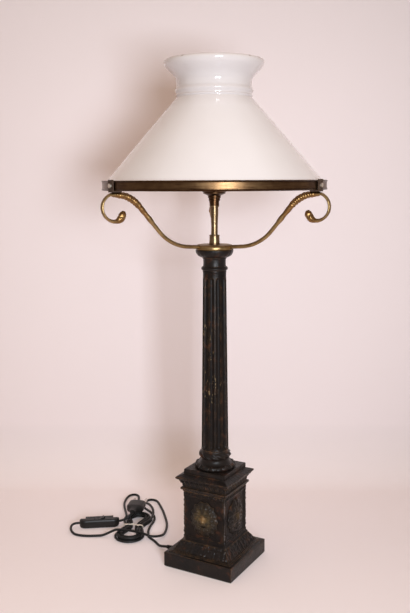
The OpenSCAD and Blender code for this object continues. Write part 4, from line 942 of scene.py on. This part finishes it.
def build_column_base():
    """The turned foot: a leafy lower torus, a hollow, and an upper torus bound with ribbon."""
    z = COLUMN_Z
    neck = SHAFT_R_LOW + 0.3
    profile = [
        (25.4, z), (26.4, z + 1.1), (26.5, z + 2.6), (25.9, z + 4.1), (24.6, z + 5.2), (neck + 4.2, z + 6.0),
        (neck + 2.3, z + 7.6), (neck + 1.0, z + 9.8), (neck + 0.6, z + 11.8), (neck + 1.0, z + 13.4),
        (neck + 2.1, z + 14.7), (neck + 2.8, z + 17.2), (neck + 2.2, z + 20.0), (neck + 0.9, z + 22.0),
        (neck, z + 22.8), (neck, SHAFT_Z),
    ]
    line = smooth_line(profile, 6)
    lengths = line_lengths(line)
    hollow = lengths[6 * 5]
    upper = lengths[6 * 9]
    top = lengths[6 * 13]

    def relief(turn, distance):
        if distance < hollow:
            t = distance / hollow
            pattern = leaf(row(turn, 2 * math.pi / 18), 0.15 + 0.8 * t)
            return 1.1 * pattern * step_up(t, 0.0, 0.2) * step_up(1 - t, 0.0, 0.2)
        if upper < distance < top:
            t = (distance - upper) / (top - upper)
            twist = math.sin(12 * turn + 2.2 * math.pi * t)
            return 0.8 * twist * math.sin(math.pi * t)
        return 0.0

    base = lathe("column_foot", line, 288, relief)
    sharpen(base, 60.0)
    return base


def build_capital():
    """The capital: astragal, neck, fillet and a bowl with faint lobes."""
    z = CAPITAL_Z
    neck = SHAFT_R_TOP - 0.2
    bead = [(neck, z), (neck + 1.6, z + 0.4), (neck + 2.4, z + 2.5), (neck + 1.4, z + 4.4), (neck + 0.1, z + 5.0)]
    throat = [(neck - 0.2, z + 6.0), (neck - 0.3, z + 10.0), (neck - 0.1, z + 14.4)]
    fillet = [(neck + 0.8, z + 15.4), (neck + 0.9, z + 16.8)]
    bowl = [(18.6, z + 17.3), (21.2, z + 18.9), (23.2, z + 21.4), (24.3, z + 24.0), (24.6, z + 25.6), (24.5, HUB_Z)]
    line = smooth_line(bead, 6) + smooth_line(throat, 6) + [Vector(p) for p in fillet] + smooth_line(bowl, 6)
    lengths = line_lengths(line)
    start = lengths[len(line) - 31]
    length = lengths[-1] - start

    def relief(turn, distance):
        t = (distance - start) / length
        if not 0.0 < t < 1.0:
            return 0.0
        return 0.35 * abs(math.cos(10 * turn)) * math.sin(math.pi * t) - 0.15

    capital = lathe("capital_turning", line, 240, relief)
    sharpen(capital, 50.0)
    return capital


def build_hub():
    """The gold disc that the arms spring from."""
    z = HUB_Z
    line = smooth_line([(23.0, z), (24.1, z + 0.8), (24.4, z + 2.4), (24.2, z + 4.4), (23.0, z + 6.0),
                        (20.8, z + 6.6), (15.0, z + HUB_T), (7.2, z + HUB_T)], 5)
    hub = lathe("hub_disc", line, 160)
    sharpen(hub, 60.0)
    return hub


# Arms

ARM_ROOT = (21.4, 431.68)
ARM_START = 4.0
ARM_STEEP = 50.0
ARM_FLAT = 18.0
ARM_STRAIGHT = 41.5
ARM_BEND_R = 42.0
SCROLL_R = 16.5
SCROLL_INNER_R = 10.0
SCROLL_END = -285.0
CROWN_R = 139.5
KNOT_R = 97.0
ARM_LOW_R = ((CROWN_R - ARM_ROOT[0] - ARM_FLAT * math.cos(math.radians(ARM_START))
              - ARM_STRAIGHT * math.cos(math.radians(ARM_STEEP)) - ARM_BEND_R * math.sin(math.radians(ARM_STEEP)))
             / (math.sin(math.radians(ARM_STEEP)) - math.sin(math.radians(ARM_START))))
# Thickness in the arm's plane and width across it, by step along the arm
ARM_THICK = ((0, 5.0), (12, 5.0), (16.2, 5.1), (16.6, 6.4), (17.0, 6.8), (17.6, 5.7), (19.5, 6.5), (22, 6.8), (24, 6.4),
             (26, 4.9), (27.6, 3.9), (29, 3.8), (37, 3.8), (40, 5.4), (43, 8.6), (45.6, 9.4), (47.4, 6.4), (48, 1.4))
ARM_WIDE = ((0, 4.8), (12, 5.0), (16.2, 5.4), (16.6, 7.4), (17.0, 8.0), (17.6, 6.8), (20, 9.4), (23, 11.0), (26.4, 9.6),
            (28.4, 7.4), (32, 6.2), (39, 6.2), (42, 7.2), (44, 8.8), (46, 8.8), (47.4, 5.8), (48, 1.4))
# How much thicker the leaf is below the arm's own section
ARM_BELOW = ((0, 0.0), (17.4, 0.0), (20, 1.0), (24, 1.3), (27, 2.6), (28.4, 2.2), (29.6, 0.0), (48, 0.0))


def lookup(table, x):
    """Value of a table between its rows."""
    for (x0, y0), (x1, y1) in zip(table, table[1:]):
        if x <= x1:
            return y0 + (y1 - y0) * step_up(x, x0, x1)
    return table[-1][1]


def bend_end(p, r, a, b):
    """End of a bend from point p that turns from heading a to heading b with a signed radius."""
    a = math.radians(a)
    b = math.radians(b)
    return (p[0] + r * (math.sin(b) - math.sin(a)), p[1] + r * (math.cos(a) - math.cos(b)))


def arm_line(fine):
    """Centre line of an arm as (radius, height, heading, step), with that many parts to a step."""
    spans = ((1, ARM_FLAT, ARM_START, ARM_START), (14, ARM_LOW_R, ARM_START, ARM_STEEP),
             (4, ARM_STRAIGHT, ARM_STEEP, ARM_STEEP), (9, -ARM_BEND_R, ARM_STEEP, 0.0),
             (6, -SCROLL_R, 0.0, -90.0), (6, -SCROLL_R, -90.0, -180.0), (8, -SCROLL_INNER_R, -180.0, SCROLL_END))
    line = [(*ARM_ROOT, ARM_START, 0.0)]
    step = 0
    start = ARM_ROOT
    for count, radius, a, b in spans:
        for i in range(1, count * fine + 1):
            part = i / (count * fine)
            if a != b:
                heading = a + (b - a) * part
                p = bend_end(start, radius, a, heading)
            else:
                heading = a
                reach = radius * part
                p = (start[0] + reach * math.cos(math.radians(a)), start[1] + reach * math.sin(math.radians(a)))
            line.append((*p, heading, step + count * part))
        step += count
        start = p
    return line


def arm_relief(step, turn):
    """Leaf work on the arm: scales and veins on the cast part, a hollow in the scroll, folds on the bud."""
    side = math.cos(turn)
    up = math.sin(turn)
    if 17.4 < step < 28.5:
        fade = step_up(step, 17.4, 18.4) * step_up(28.5 - step, 0.0, 2.0)
        scale = abs(math.sin(math.pi * (step * 0.85 + 0.55 * abs(side))))
        rib = 0.6 * math.exp(-(side / 0.22) ** 2) * (1 if up > 0 else 0.4)
        serrate = 0.55 * abs(side) ** 3 * math.cos(2 * math.pi * step * 1.25)
        return fade * (0.55 * scale - 0.3 + rib + serrate)
    if 29.0 < step < 41.0:
        fade = step_up(step, 29.0, 30.5) * step_up(41.0 - step, 0.0, 2.0)
        return -0.75 * fade * math.exp(-(side / 0.42) ** 2) * (1.0 if up < 0 else 0.35)
    if step >= 41.5:
        fade = step_up(step, 41.5, 43.0) * step_up(48.0 - step, 0.0, 1.0)
        return 0.4 * fade * math.cos(5 * turn + 1.6 * (step - 42))
    return 0.0


def build_arm(name, heading):
    """One arm: a tapering stem, a leafy cast part, a hollowed scroll and a bud."""
    sides = 28
    points = []
    line = arm_line(7)
    for r, z, lean, step in line:
        a = math.radians(lean)
        wide = lookup(ARM_WIDE, step) / 2
        below = lookup(ARM_BELOW, step) / 2
        thick = lookup(ARM_THICK, step) / 2 + below
        for j in range(sides):
            turn = 2 * math.pi * j / sides
            rise = arm_relief(step, turn) + rough(r, z, 3 * turn, 0.5, 0.14)
            x = (wide + rise) * math.cos(turn)
            n = (thick + rise) * math.sin(turn) - below
            points.append((r - n * math.sin(a), -x, z + n * math.cos(a)))
    faces = [tuple(reversed(face)) for face in grid_faces(len(line), sides)]
    faces.append(tuple(range(sides)))
    faces.append(tuple(len(points) - 1 - j for j in range(sides)))
    arm = mesh_object(name, points, [tuple(reversed(face)) for face in faces])
    arm.data.transform(Matrix.Rotation(math.radians(heading), 4, "Z"))
    return arm


# Glass

GLASS_RIM_R = 139.8
GLASS_RIM_H = 7.0
GLASS_NECK_R = 47.4
GLASS_NECK_Z = 113.5
GLASS_SHOULDER = 1.2
GLASS_LIP_Z = 130.5
GLASS_LIP_R = 62.9
GLASS_TOP = 159.0
GLASS_ROLL_H = 3.8
GLASS_ROLL_IN = 2.8
GLASS_FLARE = 1.2
GLASS_WALL = 3.0
# Each ridge round the neck: where it starts, how far it stands out, its height
GLASS_RIDGES = ((113.5, 1.2, 3.2), (116.7, 1.9, 10.0))


def glass_outside():
    """Outer line of the glass, from its rim up to the rolled lip, above the glass's seat."""
    cone_r = GLASS_NECK_R + 0.75 * GLASS_SHOULDER
    cone_top = GLASS_NECK_Z - GLASS_SHOULDER
    rim = [(GLASS_RIM_R, 0.0), (GLASS_RIM_R, 4.2), (GLASS_RIM_R - 0.3, GLASS_RIM_H), (GLASS_RIM_R - 1.4, GLASS_RIM_H + 1.8)]
    cone = []
    for i in range(1, 13):
        t = i / 12
        cone.append((GLASS_RIM_R + (cone_r - GLASS_RIM_R) * t + 1.2 * t * (1 - t),
                     GLASS_RIM_H + (cone_top - GLASS_RIM_H) * t))
    ridges = [(GLASS_NECK_R + out * (1 - math.cos(math.radians(45 * i))) / 2, z + high * i / 8)
              for z, out, high in GLASS_RIDGES for i in range(1 if z > GLASS_NECK_Z else 0, 9)]
    widest = GLASS_TOP - GLASS_ROLL_H
    lip = []
    for i in range(11):
        swell = (1 - math.cos(math.pi * (i / 10) ** GLASS_FLARE)) / 2
        lip.append((GLASS_NECK_R + (GLASS_LIP_R - GLASS_NECK_R) * swell, GLASS_LIP_Z + (widest - GLASS_LIP_Z) * i / 10))
    roll = [(GLASS_LIP_R - GLASS_ROLL_IN * (1 - math.cos(math.radians(22 * i))),
             widest + GLASS_ROLL_H * math.sin(math.radians(22 * i))) for i in range(1, 5)]
    return rim + cone + ridges + lip + roll


def glass_inside(outside):
    """Inner line of the glass: an even wall, without the neck's ridges."""
    plain = [Vector(p) for p in outside if not (GLASS_NECK_Z - 0.1 < p[1] < GLASS_LIP_Z - 0.1)]
    line = [Vector(p) for p in smooth_line(plain, 4)]
    return [Vector((p[0] - n[0] * GLASS_WALL, p[1] - n[1] * GLASS_WALL))
            for p, n in zip(line, outward_normals(line, closed=False))]


def build_glass():
    """The opal cone, blown with an even wall and a fire-polished lip."""
    outside = [Vector(p) for p in smooth_line(glass_outside(), 4)]
    inside = glass_inside(glass_outside())
    middle = (outside[-1] + inside[-1]) / 2
    half = (outside[-1] - inside[-1]) / 2
    over = Vector((-half[1], half[0]))
    if over[1] < 0:
        over = -over
    lip = [middle + half * math.cos(math.radians(a)) + over * math.sin(math.radians(a)) * 0.8 for a in range(20, 180, 20)]
    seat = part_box("glass_shade")[0][2] / MM
    line = [Vector((p[0], p[1] + seat)) for p in outside + lip + inside[::-1]]
    glass = lathe("glass_cone", line, 256, closed=True)
    sharpen(glass, 60.0)
    return glass


# Cord, tie, relief and plug

def add_curve(name, points, radius, closed=False):
    """A round wire through points in millimetres."""
    data = bpy.data.curves.new(name, "CURVE")
    data.dimensions = "3D"
    data.bevel_depth = radius * MM
    data.bevel_resolution = 5
    data.use_fill_caps = True
    spline = data.splines.new("POLY")
    spline.points.add(len(points) - 1)
    for point, p in zip(spline.points, points):
        point.co = (p[0] * MM, p[1] * MM, p[2] * MM, 1.0)
    spline.use_cyclic_u = closed
    spline.use_smooth = True
    obj = bpy.data.objects.new(name, data)
    bpy.context.scene.collection.objects.link(obj)
    return obj


def build_cords(material):
    """The cord from the lamp to the switch, and the short one from the switch to the plug."""
    main = smooth_line(LEAD_ROUTE + HANK_ROUTE + LOOP_ROUTE, 4)
    tail = smooth_line(TAIL_ROUTE, 6)
    cord = add_curve("mains_cord", main, CORD_D / 2)
    short = add_curve("plug_cord", tail, CORD_D / 2)
    for piece in (cord, short):
        piece.data.materials.append(material)
        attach(piece, "stand")
    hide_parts("cord_lead", "cord_hank", "cord_loop")
    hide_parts("cord_tail")
    return cord, main, short, tail


def build_tie():
    """A flat pale tie round the hank's waist, its ends twisted together on top."""
    at = -4.0
    left, right = -16.65, 14.35
    low, high = 0.45, 9.0
    corner = 3.6
    path = []
    for centre_u, centre_z, start in ((right - corner, low + corner, -90), (right - corner, high - corner, 0),
                                      (left + corner, high - corner, 90), (left + corner, low + corner, 180)):
        for i in range(7):
            a = math.radians(start + 15 * i)
            path.append((centre_u + corner * math.cos(a), centre_z + corner * math.sin(a)))
    points = []
    wide, thick = 1.1, 0.25
    count = len(path)
    for i, (u, z) in enumerate(path):
        a = Vector(path[(i + 1) % count]) - Vector(path[i - 1])
        a.normalize()
        out = (a[1], -a[0])
        for side, lift in ((-1, -1), (1, -1), (1, 1), (-1, 1)):
            points.append(on_hank((u + out[0] * thick * lift, at + side * wide, z + out[1] * thick * lift)))
    band = mesh_object("tie_band", points, [tuple(reversed(f)) for f in grid_faces(count, 4, wrap_rows=True)], False)
    tails = []
    for k, (heading, length) in enumerate(((205.0, 13.0), (-25.0, 11.0))):
        start = Vector((-1.0, at, high + 0.9))
        a = math.radians(heading)
        line = []
        for i in range(40):
            t = i / 39
            twist = 0.45 * math.sin(math.pi * min(1.0, 4 * t)) if t < 0.25 else 0.0
            line.append(on_hank((start[0] + length * t * math.cos(a), start[1] + length * t * math.sin(a) + twist,
                                 start[2] + 0.5 * math.sin(3 * t + k))))
        tails.append(add_curve(f"tie_tail_{k + 1}", line, 0.5))
    return [band] + tails


def build_relief():
    """The ribbed rubber relief where the cord leaves the plinth."""
    half = PLINTH_HALF
    line = [(2.2, -half + 4.0)]
    line += [(4.2, -half - 0.05), (4.4, -half - 1.0), (4.3, -half - 2.0)]
    for k in range(5):
        x = -half - 3.4 - 3.1 * k
        r = 4.1 - 0.32 * k
        line += [(r - 0.7, x + 0.6), (r - 0.7, x), (r, x - 0.5), (r, x - 1.7)]
    line += [(2.5, -half - 18.8), (2.3, -half - 20.0), (1.95, -half - 20.0), (1.95, -half + 4.0)]
    steps = 40
    points = []
    for r, x in line:
        for j in range(steps):
            a = 2 * math.pi * j / steps
            points.append((x, RELIEF_END[1] + r * math.cos(a), RELIEF_END[2] + r * math.sin(a)))
    relief = mesh_object("cord_boot", points, grid_faces(len(line), steps, wrap_rows=True))
    sharpen(relief, 30.0)
    return relief


def build_plug():
    """The flat plug: a waisted grip that widens to the pins' face."""
    rows = []
    # Distance from the cord's end, half width, half thickness
    sections = [(0.0, 3.2, 3.2), (0.6, 3.9, 3.9), (5.0, 4.4, 4.2), (9.0, 6.4, 4.9), (13.0, 11.0, 5.9), (16.0, 12.6, 6.5),
                (24.0, 12.9, 6.6), (33.0, 12.9, 6.6), (34.4, 12.6, 6.3), (PLUG_LENGTH, 11.7, 5.4)]
    for y, wide, thick in smooth_line(sections, 6):
        ribs = 0.35 * math.cos(2 * math.pi * (y - 17.0) / 2.6) if 17.0 < y < 30.0 else 0.0
        rows.append((y, wide, thick, ribs))
    steps = 64
    points = []
    for y, wide, thick, ribs in rows:
        for j in range(steps):
            a = 2 * math.pi * j / steps
            c = math.cos(a)
            s = math.sin(a)
            power = 2 / 3.6
            u = wide * math.copysign(abs(c) ** power, c)
            w = thick * math.copysign(abs(s) ** power, s)
            grip = ribs * step_up(abs(c), 0.8, 1.0)
            points.append(on_hank((PLUG_SIDE + u + math.copysign(grip, c), PLUG_REAR + y, PLUG_Z + w)))
    faces = [tuple(reversed(f)) for f in grid_faces(len(rows), steps)]
    faces.append(tuple(range(steps)))
    faces.append(tuple(len(points) - 1 - j for j in range(steps)))
    plug = mesh_object("plug_grip", points, faces)
    sharpen(plug, 45.0)
    return plug


# Assembly

def dress(piece, material, node, body="stand"):
    """Gives a new piece its material and lets it stand for a node of the frame."""
    piece.data.materials.clear()
    piece.data.materials.append(material)
    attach(piece, body)
    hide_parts(node)


def paint_node(node, material):
    """Gives a node of the frame a new material."""
    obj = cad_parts[node]
    if not obj.material_slots:
        obj.data.materials.append(material)
    for slot in obj.material_slots:
        slot.material = material


add_camera()
add_stage()
add_world()
add_area_light("key", CAMERA_AZIMUTH + KEY_TURN, KEY_RISE, KEY_DISTANCE, KEY_SIZE, KEY_POWER, KEY_COLOUR, KEY_AIM)

bronze = bronze_material("patinated_bronze", 0.75)
worn_bronze = bronze_material("rubbed_bronze", 1.0)
mask_bronze = bronze_material("gilded_mask", 0.6, gilded=True)
block_bronze = bronze_material("block_bronze", 0.6, gloss=0.13, painted_corner_glint=True)
shaft_bronze = bronze_material("shaft_bronze", 0.5, gloss=0.12, flecked=True)
clip_brass = plain_material("clip_brass", (0.055, 0.032, 0.02), 0.6, gloss=0.2)
gilt = gilt_material("old_gilding", (0.37, 0.25, 0.11), (0.09, 0.045, 0.018), 0.34, 700.0, 0.00005,
                     outer=(0.33, 0.187, 0.07), knot=KNOT_R * MM, crown=CROWN_R * MM)
tube_brass = gilt_material("brown_brass", (0.24, 0.165, 0.09), (0.07, 0.038, 0.018), 0.32, 700.0, 0.00001)
ring_brass = ring_material()
opal = opal_material()
cord_rubber = plain_material("cord_rubber", (0.008, 0.0075, 0.007), 0.46, grain=900.0, gloss=0.3)
black_plastic = plain_material("black_plastic", (0.008, 0.0075, 0.007), 0.4, grain=1500.0, gloss=0.32)
steel = plain_material("zinc_steel", (0.45, 0.45, 0.44), 0.35, metallic=1.0)
bright_brass = plain_material("contact_brass", (0.62, 0.44, 0.2), 0.3, metallic=1.0)
nickel = plain_material("nickel", (0.62, 0.6, 0.57), 0.22, metallic=1.0, grain=300.0)
screw_metal = plain_material("worn_screw", (0.85, 0.77, 0.66), 0.42, metallic=1.0, grain=400.0)
porcelain = plain_material("porcelain", (0.78, 0.75, 0.68), 0.2, spread=0.03)
frosted = plain_material("frosted_bulb", (0.72, 0.71, 0.69), 0.35, spread=0.02)
tie_paper = plain_material("tie_paper", (0.72, 0.64, 0.55), 0.7, grain=900.0)
felt = felt_material()

cord, cord_line, short_cord, tail_line = build_cords(cord_rubber)
boot = build_relief()
dress(boot, cord_rubber, "cord_relief")
plug = build_plug()
dress(plug, black_plastic, "plug_body")
tie_pieces = build_tie()
for piece in tie_pieces:
    piece.data.materials.append(tie_paper)
    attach(piece, "stand")
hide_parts("twist_tie")

dress(build_plinth(), bronze, "plinth")
dress(build_die(), block_bronze, "die")
for k, side in enumerate(("front", "right", "back", "left")):
    dress(build_mask(f"lion_{side}", 90 * k), mask_bronze, f"mask_{side}")
dress(build_cornice(), worn_bronze, "cornice")
dress(build_abacus(), worn_bronze, "abacus")
dress(build_column_base(), worn_bronze, "column_base")
dress(build_capital(), bronze, "capital")
dress(build_hub(), gilt, "gallery_hub")
for k in range(3):
    dress(build_arm(f"scroll_arm_{k + 1}", 120 * k), gilt, f"arm_{k + 1}")
dress(build_glass(), opal, "glass_shade", body="shade")

paint_node("column_shaft", shaft_bronze)
paint_node("felt_pad", felt)
for node in ("shade_ring", "holder_bell", "holder_sleeve"):
    paint_node(node, ring_brass)
paint_node("ring_clips", clip_brass)
for node in ("stem_collar", "stem_tube", "stem_ring"):
    paint_node(node, tube_brass)
for node in ("tie_rod", "clamp_bar", "rod_nut", "rod_washer", "switch_pivot", "switch_screws"):
    paint_node(node, steel)
for node in ("holder_thread", "holder_contact", "switch_terminals"):
    paint_node(node, bright_brass)
for node in ("bulb_cap", "bulb_contact", "plug_pins"):
    paint_node(node, nickel)
for node in ("switch_lower", "switch_upper", "switch_rocker"):
    paint_node(node, black_plastic)
paint_node("ring_screws", screw_metal)
paint_node("holder_core", porcelain)
paint_node("bulb_glass", frosted)
paint_node("inner_lead", cord_rubber)

bpy.context.scene.view_settings.view_transform = "Standard"
